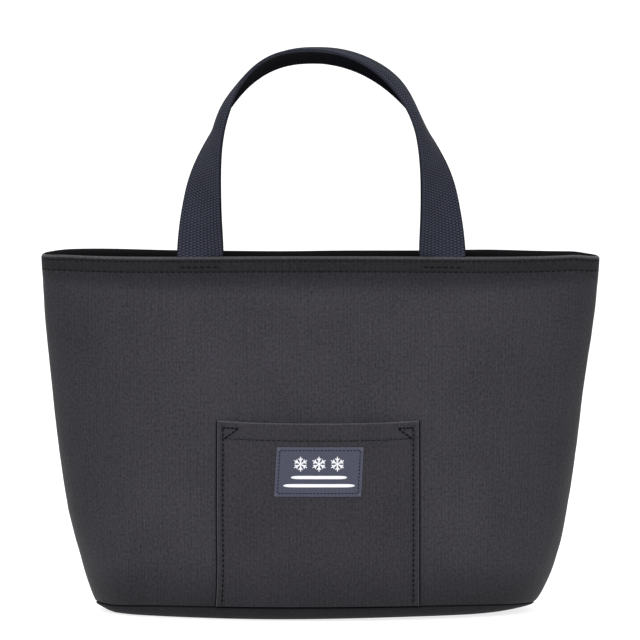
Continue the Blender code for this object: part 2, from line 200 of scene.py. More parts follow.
def settled(points, side):
    """Points where the soft bag settles."""
    x, y, z = points[..., 0], points[..., 1], points[..., 2]
    share = np.clip(x / sizes(z)[0], -1, 1) ** 2
    lean = LEAN_WALL * smooth((RIM_HEIGHT - z) / 0.09) * (1 - 0.45 * smooth((0.06 - z) / 0.03))
    lean = lean + LEAN_FOOT * np.exp(-np.maximum(z, 0) / 0.010)
    lean = lean + DRAWN_IN * np.sign(x) * smooth((z - 0.012) / 0.02) * smooth((0.165 - z) / 0.05)
    if side == FRONT:
        sag = FRONT_SAG * (1 - share**3) - FRONT_ARCH * (1 - share) ** 2
    else:
        waves = sum(rise * bell(x - at, width) for at, width, rise in BACK_WAVES)
        sag = BACK_SAG * (1 - share**3) - waves * (1 - share**16)
    drop = np.where(x < 0, CORNER_DROP[-1], CORNER_DROP[1]) * smooth((share - 0.8) / 0.2)
    lift = FOOT_TILT * smooth((x + 0.045) / 0.10)
    for hand, (rise, begin) in CORNER_LIFT.items():
        lift = lift + rise * smooth((share - begin) / (1 - begin)) * (x * hand > 0)
    lift = lift * np.exp(-np.maximum(z, 0) / 0.006)
    near_seam = np.where(z < SEAM_HEIGHT, smooth(z / SEAM_HEIGHT), bell(z - SEAM_HEIGHT, 0.006))
    lift = lift - SEAM_DROP * share**3 * near_seam
    if side == FRONT:
        lift = lift + SEAM_LIFT * (1 - share) * bell(z - SEAM_HEIGHT, 0.004) * smooth(-y / 0.02)
    return np.stack([x - lean * share, y, z + lift - sag * smooth((z - 0.09) / 0.1)
                     - drop * smooth((z - 0.165) / 0.028)], -1)


def placed(points, side):
    """Points made for the front wall, in their place on this wall of the settled bag."""
    return settled(turned(points, side), side)


# ---------------------------------------------------------------- soft shape of the walls

SIM_COLUMNS = 61
SIM_ROWS = 35
PUFF_CAP = 0.0026
SIM_TOP = HEM_STITCH_Z
DENT_CAP = 0.0009


def panel_object(points, rows, columns):
    """A plain grid object for the simulation, with its border in the group that is held."""
    faces = grid_faces(rows, columns)
    mesh = bpy.data.meshes.new("panel")
    mesh.from_pydata(points.tolist(), [], faces)
    made = bpy.data.objects.new("panel", mesh)
    bpy.context.collection.objects.link(made)
    held = made.vertex_groups.new(name="held")
    for row in range(rows):
        for col in range(columns):
            if row in (0, rows - 1) or col in (0, columns - 1):
                held.add([row * columns + col], 1.0, "REPLACE")
    return made


def cloth_puff(side):
    """How far the wall's panel swells between its seams, as a grid, by cloth simulation."""
    h = np.linspace(-1, 1, SIM_COLUMNS)[None, :]
    z = np.linspace(SEAM_HEIGHT, SIM_TOP, SIM_ROWS)[:, None]
    rest = wall(h, z)
    outward = wall(h, z, 0.001) - rest
    outward /= np.linalg.norm(outward, axis=-1, keepdims=True)
    random = np.random.default_rng(7 + side)
    start = rest + outward * random.uniform(0, 0.0002, rest.shape[:2])[..., None]
    panel = panel_object(start.reshape(-1, 3), SIM_ROWS, SIM_COLUMNS)
    cloth = panel.modifiers.new("cloth", "CLOTH")
    settings = cloth.settings
    settings.quality = 6
    settings.mass = 0.25
    settings.tension_stiffness = 25
    settings.compression_stiffness = 25
    settings.shear_stiffness = 10
    settings.bending_stiffness = 1.5
    settings.use_pressure = True
    settings.uniform_pressure_force = 4.0
    settings.effector_weights.gravity = 0
    settings.vertex_group_mass = "held"
    scene = bpy.context.scene
    for step in range(1, 21):
        scene.frame_set(step)
    depsgraph = bpy.context.evaluated_depsgraph_get()
    mesh = panel.evaluated_get(depsgraph).to_mesh()
    moved = np.array([v.co for v in mesh.vertices]).reshape(rest.shape)
    panel.evaluated_get(depsgraph).to_mesh_clear()
    bpy.data.objects.remove(panel)
    scene.frame_set(1)
    swell = ((moved - rest) * outward).sum(-1)
    return PUFF_CAP * np.tanh(swell / PUFF_CAP)


def read_grid(grid, h, z):
    """A simulated grid read between its points."""
    rows, columns = grid.shape
    i = np.clip((z - SEAM_HEIGHT) / (SIM_TOP - SEAM_HEIGHT), 0, 1) * (rows - 1)
    j = np.clip((h + 1) / 2, 0, 1) * (columns - 1)
    i0 = np.minimum(i.astype(int), rows - 2)
    j0 = np.minimum(j.astype(int), columns - 2)
    fi, fj = smooth(i - i0) * 0.5 + (i - i0) * 0.5, smooth(j - j0) * 0.5 + (j - j0) * 0.5
    low = grid[i0, j0] * (1 - fj) + grid[i0, j0 + 1] * fj
    high = grid[i0 + 1, j0] * (1 - fj) + grid[i0 + 1, j0 + 1] * fj
    return low * (1 - fi) + high * fi


# Slack in the cloth: (h, height, half width in h, half height, depth), front then back.
SLACK = {
    FRONT: [(0.36, 0.168, 0.10, 0.020, -0.0006), (-0.40, 0.166, 0.09, 0.022, -0.0006),
            (-0.66, 0.095, 0.10, 0.060, 0.0007), (0.70, 0.075, 0.09, 0.050, -0.0008),
            (0.86, 0.110, 0.05, 0.060, 0.0006), (0.05, 0.150, 0.22, 0.020, 0.0005),
            (-0.82, 0.040, 0.06, 0.030, -0.0007), (0.48, 0.030, 0.08, 0.020, 0.0005)],
    BACK: [(0.30, 0.120, 0.20, 0.030, -0.0008), (-0.35, 0.090, 0.16, 0.040, 0.0007),
           (0.62, 0.060, 0.10, 0.040, -0.0006), (-0.70, 0.130, 0.10, 0.040, -0.0006)],
}


def skin(h, z, side):
    """How proud of the outline the wall's outer surface stands."""
    h, z = np.broadcast_arrays(np.asarray(h, float), np.asarray(z, float))
    out = read_grid(puffs[side], h, z)
    for at_h, at_z, wide, tall, depth in SLACK[side]:
        inside = smooth((SIM_TOP - z) / 0.012) * smooth((z - SEAM_HEIGHT) / 0.012)
        out = out + depth * bell(h - at_h, wide) * bell(z - at_z, tall) * inside
    out = np.where(out < 0, DENT_CAP * np.tanh(out / DENT_CAP), out)
    sewn = HEM_RAISE * smooth((z - HEM_STITCH_Z) / 0.0012)
    sewn = sewn - GROOVE_DEPTH * bell(z - HEM_STITCH_Z, GROOVE_WIDTH)
    sewn = sewn - GROOVE_DEPTH * 1.2 * bell(z - EDGE_STITCH_Z, GROOVE_WIDTH * 0.8)
    out = out + sewn * (1 - np.abs(h) ** 14)
    from_seam = (1 - np.abs(h)) * reach_of(z)
    out = out - 0.0008 * bell(from_seam, 0.0009)
    return out


# ---------------------------------------------------------------- mesh making


def grid_faces(rows, columns, flip=False):
    faces = []
    for row in range(rows - 1):
        for col in range(columns - 1):
            a = row * columns + col
            face = (a, a + 1, a + columns + 1, a + columns)
            faces.append(face[::-1] if flip else face)
    return faces


def add_mesh(name, points, faces, material, uv=None, sharp=40):
    """A smooth-shaded object from world points; uv gives metres along the cloth for each point."""
    points = np.asarray(points, float).reshape(-1, 3)
    mesh = bpy.data.meshes.new(name)
    mesh.from_pydata(points.tolist(), [], [tuple(int(i) for i in face) for face in faces])
    mesh.materials.append(material)
    if uv is not None:
        layer = mesh.uv_layers.new(name="cloth")
        index = np.zeros(len(mesh.loops), int)
        mesh.loops.foreach_get("vertex_index", index)
        layer.data.foreach_set("uv", np.asarray(uv, float).reshape(-1, 2)[index].ravel())
    mesh.shade_smooth()
    mesh.set_sharp_from_angle(angle=math.radians(sharp))
    made = bpy.data.objects.new(name, mesh)
    bpy.context.collection.objects.link(made)
    return made


def sheet_mesh(name, outer, inner, material, uv=None, flip=False, sharp=50):
    """A closed sheet between two grids of points, which are (rows, columns, 3)."""
    rows, columns, _ = outer.shape
    count = rows * columns
    faces = grid_faces(rows, columns, flip)
    faces += [tuple(i + count for i in face) for face in grid_faces(rows, columns, not flip)]
    edge = list(range(columns))
    edge += [row * columns + columns - 1 for row in range(1, rows)]
    edge += [(rows - 1) * columns + col for col in reversed(range(columns - 1))]
    edge += [row * columns for row in reversed(range(1, rows - 1))]
    for a, b in zip(edge, edge[1:] + edge[:1]):
        face = (b, a, count + a, count + b)
        faces.append(face[::-1] if flip else face)
    points = np.concatenate([outer.reshape(-1, 3), inner.reshape(-1, 3)])
    both = None if uv is None else np.concatenate([uv.reshape(-1, 2)] * 2)
    return add_mesh(name, points, faces, material, both, sharp)


def loft(name, rings, material, uv=None, sharp=50, flip=False, capped=True):
    """A closed body through rings of points, (rings, points, 3), each ring closed on itself."""
    count, size, _ = rings.shape
    faces = []
    for ring in range(count - 1):
        for i in range(size):
            j = (i + 1) % size
            low = ring * size
            face = (low + i, low + j, low + size + j, low + size + i)
            faces.append(face[::-1] if flip else face)
    if capped:
        half = size // 2
        last = (count - 1) * size
        for i in range(half - 1):
            quad = (i, size - 1 - i, size - 2 - i, i + 1)
            faces.append(quad[::-1] if flip else quad)
            far = tuple(last + k for k in quad[::-1])
            faces.append(far[::-1] if flip else far)
    return add_mesh(name, rings, faces, material, uv, sharp)


def hang(piece):
    """Half a wall's layer, with its placement baked into its mesh."""
    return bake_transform(piece)


# ---------------------------------------------------------------- materials


class Finish:
    """A material under construction, with short calls for its nodes."""

    def __init__(self, name, colour, roughness, metallic=0.0, **fixed):
        self.material = bpy.data.materials.new(name)
        self.material.use_nodes = True
        self.tree = self.material.node_tree
        self.shader = self.tree.nodes["Principled BSDF"]
        self.shader.inputs["Base Color"].default_value = (*colour, 1.0)
        self.shader.inputs["Roughness"].default_value = roughness
        self.shader.inputs["Metallic"].default_value = metallic
        for socket, value in fixed.items():
            self.shader.inputs[socket.replace("_", " ")].default_value = value
        self.coords = self.tree.nodes.new("ShaderNodeTexCoord")

    def node(self, kind, **inputs):
        made = self.tree.nodes.new(kind)
        for socket, value in inputs.items():
            self.feed(made.inputs[socket.replace("_", " ")], value)
        return made

    def feed(self, socket, value):
        if isinstance(value, bpy.types.NodeSocket):
            self.tree.links.new(value, socket)
        else:
            socket.default_value = value

    def math(self, operation, first, second=0.0, third=0.0):
        made = self.tree.nodes.new("ShaderNodeMath")
        made.operation = operation
        for socket, value in zip(made.inputs, (first, second, third)):
            self.feed(socket, value)
        return made.outputs[0]

    def scaled(self, vector, scale):
        made = self.tree.nodes.new("ShaderNodeMapping")
        self.feed(made.inputs["Vector"], vector)
        made.inputs["Scale"].default_value = scale
        return made.outputs[0]

    def noise(self, vector, scale, detail=2.0, roughness=0.5):
        made = self.node("ShaderNodeTexNoise", Vector=vector, Scale=scale, Detail=detail,
                         Roughness=roughness)
        return made.outputs["Fac"]

    def split(self, vector):
        made = self.node("ShaderNodeSeparateXYZ", Vector=vector)
        return made.outputs[0], made.outputs[1], made.outputs[2]

    def wave(self, value, period):
        """0 to 1 and back over each period."""
        angle = self.math("MULTIPLY", value, 2 * math.pi / period)
        return self.math("MULTIPLY_ADD", self.math("SINE", angle), 0.5, 0.5)

    def ramp(self, factor, low, high):
        made = self.tree.nodes.new("ShaderNodeMix")
        made.data_type = "RGBA"
        self.feed(made.inputs[0], factor)
        made.inputs[6].default_value = (*low, 1.0)
        made.inputs[7].default_value = (*high, 1.0)
        return made.outputs[2]

    def step(self, value, low, high):
        """0 below low, 1 above high, smooth between."""
        made = self.tree.nodes.new("ShaderNodeMapRange")
        made.interpolation_type = "SMOOTHSTEP"
        for socket, number in zip(made.inputs, (value, low, high)):
            self.feed(socket, number)
        return made.outputs[0]

    def faded(self, colour, factor):
        """A colour turned towards black by a factor."""
        made = self.tree.nodes.new("ShaderNodeMix")
        made.data_type = "RGBA"
        self.feed(made.inputs[0], factor)
        self.feed(made.inputs[6], colour)
        made.inputs[7].default_value = (0.0, 0.0, 0.0, 1.0)
        return made.outputs[2]

    def finish(self, colour=None, height=None, distance=0.0002, strength=1.0, roughness=None):
        if colour is not None:
            self.feed(self.shader.inputs["Base Color"], colour)
        if roughness is not None:
            self.feed(self.shader.inputs["Roughness"], roughness)
        if height is not None:
            bump = self.node("ShaderNodeBump", Height=height, Distance=distance, Strength=strength)
            self.feed(self.shader.inputs["Normal"], bump.outputs[0])
        return self.material


def sum_of(finish, parts):
    """A weighted sum of sockets that each run from 0 to 1, centred on one half."""
    total = 0.5
    for socket, weight in parts:
        total = finish.math("ADD", total, finish.math("MULTIPLY_ADD", socket, weight, -weight / 2))
    return total


def knit(name, dark, light, sheen, shade=0.0):
    """Smooth bonded knit: fine upright wales, short yarn streaks and a heather mottle. Painted shade, as
    strong as shade, darkens it towards the side seams, under the hem and down at the foot."""
    made = Finish(name, dark, 0.9, Sheen_Weight=sheen, Sheen_Roughness=0.55,
                  Specular_IOR_Level=0.12)
    uv = made.coords.outputs["UV"]
    u, v, _ = made.split(uv)
    wander = made.noise(made.scaled(uv, (1.0, 0.3, 1.0)), 160, 2)
    across = made.math("ADD", u, made.math("MULTIPLY", wander, 0.0012))
    wale = made.wave(across, 0.0019)
    course = made.wave(v, 0.00088)
    streak = made.noise(made.scaled(uv, (1.0, 0.4, 1.0)), 1100, 3, 0.6)
    bar = made.noise(made.scaled(uv, (1.0, 0.05, 1.0)), 450, 2)
    mottle = made.noise(uv, 700, 3, 0.65)
    cloud = made.noise(uv, 28, 3)
    tone = sum_of(made, ((wale, 0.13), (streak, 0.7), (bar, 0.22), (mottle, 1.6), (cloud, 0.4),
                         (course, 0.08)))
    height = sum_of(made, ((wale, 0.5), (course, 0.25), (streak, 0.6), (mottle, 0.4)))
    colour = made.ramp(tone, dark, light)
    # Painted shade: darker towards the side seams, under the hem and down at the foot.
    if shade:
        side = made.step(made.math("ABSOLUTE", u), 0.07, 0.17)
        hem = made.math("MULTIPLY", made.step(v, HEM_STITCH_Z - 0.014, HEM_STITCH_Z - 0.002), 1.6)
        foot = made.math("MULTIPLY", made.step(made.math("MULTIPLY", v, -1.0), -0.040, -0.002), 1.8)
        painted_shade_mask = made.math("MAXIMUM", made.math("MAXIMUM", side, hem), foot)
        colour = made.faded(colour, made.math("MULTIPLY", painted_shade_mask, shade))
    return made.finish(colour, height, 0.00022, 0.55)


def webbing_finish(name, dark, light, gloss=0.05):
    """Ribbed polyester webbing: upright rows of short floats, paler on their crowns as painted highlight."""
    made = Finish(name, dark, 0.75, Specular_IOR_Level=gloss)
    uv = made.coords.outputs["UV"]
    u, v, _ = made.split(uv)
    row = made.wave(u, 0.0020)
    which = made.math("FLOOR", made.math("DIVIDE", u, 0.0020))
    offset = made.math("MULTIPLY", which, 0.00075)
    dash = made.wave(made.math("ADD", v, offset), 0.0015)
    weave = made.math("MULTIPLY", made.math("POWER", row, 0.35), made.math("POWER", dash, 1.1))
    fibre = made.noise(made.scaled(uv, (1.0, 0.3, 1.0)), 2600, 2)
    wear = made.noise(uv, 60, 3)
    tone = made.math("MULTIPLY", weave, made.math("MULTIPLY_ADD", fibre, 0.9, 0.45))
    tone = made.math("ADD", tone, made.math("MULTIPLY_ADD", wear, 0.24, -0.10))
    height = made.math("ADD", weave, made.math("MULTIPLY", fibre, 0.2))
    return made.finish(made.ramp(tone, dark, light), height, 0.0004, 0.8)


def woven(name, dark, light, thread, roughness, depth=0.0001):
    """Plain fine weave, for the label, the facing and the zip's tapes."""
    made = Finish(name, dark, roughness, Specular_IOR_Level=0.1)
    uv = made.coords.outputs["UV"]
    u, v, _ = made.split(uv)
    warp, weft = made.wave(u, thread), made.wave(v, thread * 0.8)
    check = made.math("MULTIPLY", warp, weft)
    slub = made.noise(uv, 0.5 / thread, 3, 0.6)
    tone = sum_of(made, ((check, 0.5), (slub, 0.7)))
    height = sum_of(made, ((warp, 0.5), (weft, 0.5), (slub, 0.3)))
    return made.finish(made.ramp(tone, dark, light), height, depth, 0.6)


def lining_finish():
    """Aluminised film: a soft mirror with a fine crinkle."""
    made = Finish("silver_lining", (0.62, 0.63, 0.65), 0.34, 0.75, Specular_IOR_Level=0.5)
    point = made.coords.outputs["Object"]
    folds = made.node("ShaderNodeTexVoronoi", Vector=point, Scale=150.0).outputs["Distance"]
    crinkle = made.noise(point, 90, 4, 0.6)
    height = made.math("ADD", folds, made.math("MULTIPLY", crinkle, 1.2))
    rough = made.math("MULTIPLY_ADD", crinkle, 0.25, 0.22)
    tone = made.ramp(crinkle, (0.50, 0.51, 0.53), (0.72, 0.73, 0.74))
    return made.finish(tone, height, 0.0010, 0.7, rough)


def metal_finish():
    """Gunmetal plating, brighter where it rubs."""
    made = Finish("gunmetal", (0.06, 0.06, 0.065), 0.32, 1.0)
    point = made.coords.outputs["Object"]
    scuff = made.noise(made.scaled(point, (0.3, 1.0, 1.0)), 1500, 3, 0.6)
    rough = made.math("MULTIPLY_ADD", scuff, 0.3, 0.18)
    tone = made.ramp(scuff, (0.045, 0.045, 0.05), (0.14, 0.14, 0.15))
    return made.finish(tone, scuff, 0.00004, 0.4, rough)


def nylon_finish():
    made = Finish("nylon_coil", (0.015, 0.015, 0.017), 0.35, Specular_IOR_Level=0.5)
    point = made.coords.outputs["Object"]
    grain = made.noise(point, 1800, 2)
    rough = made.math("MULTIPLY_ADD", grain, 0.2, 0.25)
    return made.finish(made.ramp(grain, (0.010, 0.010, 0.012), (0.026, 0.026, 0.03)), grain, 0.00004, 0.4, rough)


def thread_finish(name, dark, light):
    """Twisted sewing thread."""
    made = Finish(name, dark, 0.7, Specular_IOR_Level=0.06)
    point = made.coords.outputs["Object"]
    ply = made.noise(point, 3500, 2)
    return made.finish(made.ramp(ply, dark, light), ply, 0.00006, 0.6)


def floor_finish():
    """A lit table: it glows a little, so the bag leaves only a faint shadow on it."""
    made = Finish("floor", (0.40, 0.40, 0.40), 0.85, Specular_IOR_Level=0.1, Emission_Strength=0.78,
                  Emission_Color=(1.0, 1.0, 1.0, 1.0))
    haze = made.noise(made.coords.outputs["Object"], 1.5, 2)
    return made.finish(made.ramp(haze, (0.395, 0.395, 0.395), (0.405, 0.405, 0.405)))


# The last number of a knit is how strong its painted shade is.
KNIT = knit("charcoal_knit", (0.0110, 0.0105, 0.0132), (0.0385, 0.0365, 0.0440), 0.05, 0.30)
POCKET_KNIT = knit("pocket_knit", (0.0095, 0.0090, 0.0112), (0.0325, 0.0305, 0.0365), 0.05, 0.20)
# A darker copy of the knit: painted shade on the hem band between its stitch rows.
HEM_SHADED_KNIT = knit("hem_knit_painted_shade", (0.0045, 0.0043, 0.0053), (0.0155, 0.0150, 0.0172), 0.03)
# A paler copy of the knit: painted highlight on the rolled rim and on the pocket's folded edges.
RIM_HIGHLIGHT_KNIT = knit("rim_knit_painted_highlight", (0.020, 0.019, 0.023), (0.056, 0.053, 0.060), 0.08)
# A darker copy of the knit: painted shade on the base band, which faces down.
BASE_SHADED_KNIT = knit("base_knit", (0.0047, 0.0045, 0.0060), (0.0142, 0.0136, 0.0172), 0.03)
WEBBING = webbing_finish("webbing", (0.0082, 0.0087, 0.0134), (0.045, 0.049, 0.071))
# A darker copy of the webbing: painted shade on its underside and one edge.
WEBBING_SHADED = webbing_finish("webbing_painted_shade", (0.0022, 0.0023, 0.0032), (0.0080, 0.0085, 0.0115), 0.005)
LABEL = woven("label_cloth", (0.033, 0.0350, 0.053), (0.067, 0.0705, 0.099), 0.00035, 0.7)
LABEL_EDGE = woven("label_edge", (0.052, 0.054, 0.078), (0.086, 0.089, 0.122), 0.00035, 0.7)
MOTIF = thread_finish("motif_thread", (0.50, 0.51, 0.54), (0.66, 0.66, 0.68))
FACING = woven("black_facing", (0.0015, 0.0015, 0.002), (0.005, 0.005, 0.006), 0.0006, 0.9)
TAPE = woven("zip_tape", (0.004, 0.004, 0.0055), (0.014, 0.014, 0.017), 0.0007, 0.85)
LINING = lining_finish()
METAL = metal_finish()
NYLON = nylon_finish()
THREAD = thread_finish("black_thread", (0.0015, 0.0015, 0.002), (0.006, 0.006, 0.008))
FLOOR = floor_finish()


# ---------------------------------------------------------------- walls

puffs = {side: cloth_puff(side) for side in (FRONT, BACK)}


def shell_rows():
    """Heights of the outer surface, closer together at the stitch rows."""
    low = [SEAM_HEIGHT + 0.0002, 0.0075, 0.0085, 0.010]
    body = list(np.linspace(0.012, HEM_STITCH_Z - 0.003, 78))
    hem = list(np.linspace(HEM_STITCH_Z - 0.0022, RIM_HEIGHT - ROLL_RADIUS, 24))
    return np.array(low + body + hem)


def columns_of(hand, count=84):
    """h from the middle of a wall to its side seam, closer together at the seam."""
    even = np.linspace(0, 1, count)
    return hand * (1 - (1 - even) ** 1.25)


def shell(side, hand):
    """Half of a padded wall's outer cloth, rolled over the rim, as one closed body."""
    rows = shell_rows()
    outer_z = np.concatenate([[TUCK_Z, 0.0058, SEAM_HEIGHT - 0.0002], rows])
    roll = np.linspace(0, math.pi, 13)[1:]
    rings = []
    uvs = []
    for h in columns_of(hand):
        proud = skin(h, rows, side)
        tucked = np.array([-0.0020, -0.0016, -0.0010])
        out = np.concatenate([tucked, proud])
        out[3] = min(out[3], -0.0001)
        top = out[-1]
        radius = ROLL_RADIUS + top / 2
        roll_out = top - radius + radius * np.cos(roll)
        roll_z = RIM_HEIGHT - ROLL_RADIUS + ROLL_RADIUS * np.sin(roll)
        inner_z = np.linspace(FOLD_END, TUCK_Z, len(outer_z) + len(roll) - 4)
        inner_z = np.concatenate([[RIM_HEIGHT - 0.0025, FOLD_END + 0.0001, FOLD_END - 0.0004], inner_z[1:], [TUCK_Z]])
        inner_out = np.full(len(inner_z), -SHELL_INNER - 0.0018)
        inner_out[:2] = -2 * ROLL_RADIUS
        inner_out[2:] = -SHELL_INNER + np.minimum(0, np.interp(inner_z[2:], [TUCK_Z, 0.010], [-0.0022, 0.0]))
        z = np.concatenate([outer_z, roll_z, inner_z])
        proud_all = np.concatenate([out, roll_out, inner_out])
        ring = wall(np.full(len(z), h), z, proud_all)
        ring[:, 1] = np.minimum(ring[:, 1], 0.0)
        rings.append(placed(ring, side))
        along = np.where(np.arange(len(z)) < len(outer_z) + len(roll), z, z - 0.02)
        uvs.append(np.stack([h * reach_of(z), along], -1))
    rings, uvs = np.array(rings), np.array(uvs)
    name = f"{SIDE_NAMES[side]}_shell_{HAND_NAMES[hand]}"
    made = loft(name, rings, KNIT, uvs, sharp=70, flip=hand < 0)
    made.data.materials.append(HEM_SHADED_KNIT)
    made.data.materials.append(RIM_HIGHLIGHT_KNIT)
    # Painted shade on the hem band, which takes the darker hem copy; painted highlight on the rolled top, which takes
    # the paler rim copy.
    for face in made.data.polygons[:(len(rings) - 1) * len(z)]:
        k = face.index % len(z)
        if k < len(outer_z) + len(roll) and z[k] > HEM_STITCH_Z:
            face.material_index = 1 if z[k] < RIM_HEIGHT - 0.0014 else 2
    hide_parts(f"outer_{SIDE_NAMES[side]}_panel", f"{SIDE_NAMES[side]}_insulation")
    return hang(made)


def inner_layer(name, side, hand, profile, material, node, ripple):
    """Half of a thin layer that follows the wall inside, from a profile of (outer, inner, height)."""
    columns = columns_of(hand, 60)
    outer, inner, uvs = [], [], []
    for out_inset, in_inset, z in profile:
        wave = ripple * np.sin(columns * 23 + z * 90) * np.sin(columns * 9 - z * 140)
        outer.append(wall(columns, np.full(len(columns), z), -out_inset + wave))
        inner.append(wall(columns, np.full(len(columns), z), -in_inset + wave))
        uvs.append(np.stack([columns * reach_of(np.full(len(columns), z)), np.full(len(columns), z)], -1))
    outer, inner = np.array(outer), np.array(inner)
    for grid in (outer, inner):
        grid[..., 1] = np.minimum(grid[..., 1], 0.0)
    made = sheet_mesh(name, placed(outer, side), placed(inner, side), material, np.array(uvs),
                      flip=hand < 0)
    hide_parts(node)
    return hang(made)


def facing(side, hand):
    """The black facing inside the mouth."""
    profile = [(LINING_OUT, LINING_IN, FACING_END), (LINING_OUT, LINING_IN, FACING_FOOT - 0.0004)]
    for share in np.linspace(0, 1, 5):
        out_inset = LINING_OUT + (FACING_OUT - LINING_OUT) * smooth(share)
        in_inset = LINING_IN + (FACING_IN - LINING_IN) * smooth(share)
        profile.append((out_inset, in_inset, FACING_FOOT + (FACING_BEND - FACING_FOOT) * share))
    for z in np.linspace(FACING_BEND + 0.002, RIM_HEIGHT - 0.0026, 11):
        profile.append((FACING_OUT, FACING_IN, z))
    profile += [(0.0033, 0.0041, RIM_HEIGHT - 0.0016), (0.0027, 0.0035, RIM_HEIGHT - 0.0007),
                (0.0022, 0.0028, RIM_HEIGHT - 0.0001), (0.0017, 0.0021, RIM_HEIGHT + 0.0002)]
    name = f"{SIDE_NAMES[side]}_facing_{HAND_NAMES[hand]}"
    inner_layer(name, side, hand, profile, FACING,
                f"{SIDE_NAMES[side]}_rim_facing", 0.0001)


def wall_lining(side, hand):
    """The silvery lining, a little slack."""
    profile = [(LINING_OUT, LINING_IN, z) for z in np.linspace(0.0070, FACING_END - 0.0003, 46)]
    name = f"{SIDE_NAMES[side]}_liner_{HAND_NAMES[hand]}"
    inner_layer(name, side, hand, profile, LINING,
                f"{SIDE_NAMES[side]}_lining", 0.00035)


# ---------------------------------------------------------------- base


def oval(z, proud, count=150):
    """The whole outline as one closed ring."""
    h = np.linspace(1, -1, count)
    front = wall(h, np.full(count, z), np.full(count, proud))
    return settled(np.concatenate([front, turned(front, BACK)[1:-1]]), FRONT)


def base_tray():
    """The base cloth: a shallow tray whose rounded edge shows below the base seam, in a darker copy of the knit that
    is painted shade, with a black line of painted shade in the seam.
    """
    outside = [(-0.0021, 0.0062), (-0.0015, 0.0066), (-0.0009, 0.0065), (-0.0007, 0.0062), (-0.0005, 0.0057),
               (-0.0004, 0.0052), (-0.0007, 0.0042), (-0.0014, 0.0031), (-0.0026, 0.0020),
               (-0.0043, 0.0011), (-0.0064, 0.0005), (-0.0088, 0.0001), (-0.0112, 0.0)]
    rings = [oval(z, proud) for proud, z in outside]
    rest = [rings[-1] * np.array([s, s, 1.0]) for s in (0.8, 0.5, 0.2, 0.02)]
    inside = [rings[-1] * np.array([s, s, 1.0]) + np.array([0, 0, 0.0012]) for s in (0.02, 0.5, 0.9)]
    inside += [oval(0.0022, -0.0040), oval(0.0040, -0.0026), oval(0.0058, -0.0022)]
    rings = np.array(rings + rest + inside + [rings[0]])
    faces = []
    count, size, _ = rings.shape
    size_all = (count - 1) * size
    for ring in range(count - 1):
        for i in range(size):
            j = (i + 1) % size
            a, b = ring * size, ((ring + 1) * size) % size_all
            faces.append((a + i, a + j, b + j, b + i))
    points = rings[:-1]
    uv = np.stack([np.broadcast_to(np.linspace(0, 0.78, size), points.shape[:2]), points[..., 2]], -1)
    flat = np.abs(points[..., 2]) < 0.0015
    uv[flat] = points[..., :2][flat]
    made = add_mesh("base_tray", points, faces, BASE_SHADED_KNIT, uv, 60)
    # Painted shade: the tray's top rings, tucked in the seam, take the black thread's material.
    made.data.materials.append(THREAD)
    for face in made.data.polygons[:4 * size]:
        face.material_index = 1
    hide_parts("outer_base_panel", "base_insulation")
    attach(made, "base")


def base_liner():
    """The lining of the bag's floor."""
    z = 0.0066
    rings = [oval(0.0058, -0.0030), oval(z, -0.0030)]
    rings += [rings[1] * np.array([s, s, 1.0]) for s in (0.95, 0.85, 0.7, 0.5, 0.3, 0.1, 0.01)]
    rings = np.array(rings)
    random = np.random.default_rng(3)
    rings[3:, :, 2] -= random.uniform(0, 0.0003, rings[3:].shape[:2])
    under = rings[::-1][:-1].copy()
    under[..., 2] = 0.0058
    rings = np.concatenate([rings, under])
    size = rings.shape[1]
    faces = []
    total = len(rings) * size
    for ring in range(len(rings)):
        for i in range(size):
            j = (i + 1) % size
            a, b = ring * size, ((ring + 1) * size) % total
            faces.append((a + i, b + i, b + j, a + j))
    made = add_mesh("base_liner", rings, faces, LINING, sharp=50)
    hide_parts("base_lining")
    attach(made, "base")


# ---------------------------------------------------------------- stitches


def bead(sides=6):
    """One stitch: a short thread that dips into the cloth at both ends, 1 long and 1 thick."""
    rings = [(-0.5, 0.25, -0.9), (-0.40, 0.8, -0.35), (-0.15, 1.0, 0.0), (0.15, 1.0, 0.0),
             (0.40, 0.8, -0.35), (0.5, 0.25, -0.9)]
    points = []
    for along, radius, lift in rings:
        for k in range(sides):
            angle = 2 * math.pi * k / sides
            points.append((along, 0.5 * radius * math.cos(angle), 0.5 * radius * math.sin(angle) + lift * 0.5))
    faces = []
    for ring in range(len(rings) - 1):
        for k in range(sides):
            j = (k + 1) % sides
            a = ring * sides
            faces.append((a + k, a + sides + k, a + sides + j, a + j))
    faces.append(tuple(range(sides)))
    faces.append(tuple((len(rings) - 1) * sides + k for k in reversed(range(sides))))
    return np.array(points), faces


BEAD_POINTS, BEAD_FACES = bead()


def beads(path, normals, pitch, length, thick):
    """Stitches along a line of points, as (points, faces)."""
    steps = np.linalg.norm(np.diff(path, axis=0), axis=1)
    distance = np.concatenate([[0], np.cumsum(steps)])
    count = max(1, int(round(distance[-1] / pitch)))
    at = (np.arange(count) + 0.5) * distance[-1] / count
    points, faces = [], []
    for k, d in enumerate(at):
        centre = np.array([np.interp(d, distance, path[:, i]) for i in range(3)])
        ahead = np.array([np.interp(d + length / 2, distance, path[:, i]) for i in range(3)])
        behind = np.array([np.interp(d - length / 2, distance, path[:, i]) for i in range(3)])
        along = ahead - behind
        along /= np.linalg.norm(along)
        up = np.array([np.interp(d, distance, normals[:, i]) for i in range(3)])
        up -= along * (up @ along)
        up /= np.linalg.norm(up)
        side = np.cross(up, along)
        local = BEAD_POINTS * np.array([length, thick, thick])
        points.append(centre + local[:, :1] * along + local[:, 1:2] * side + local[:, 2:] * up)
        faces += [tuple(i + k * len(BEAD_POINTS) for i in face) for face in BEAD_FACES]
    return np.concatenate(points), faces


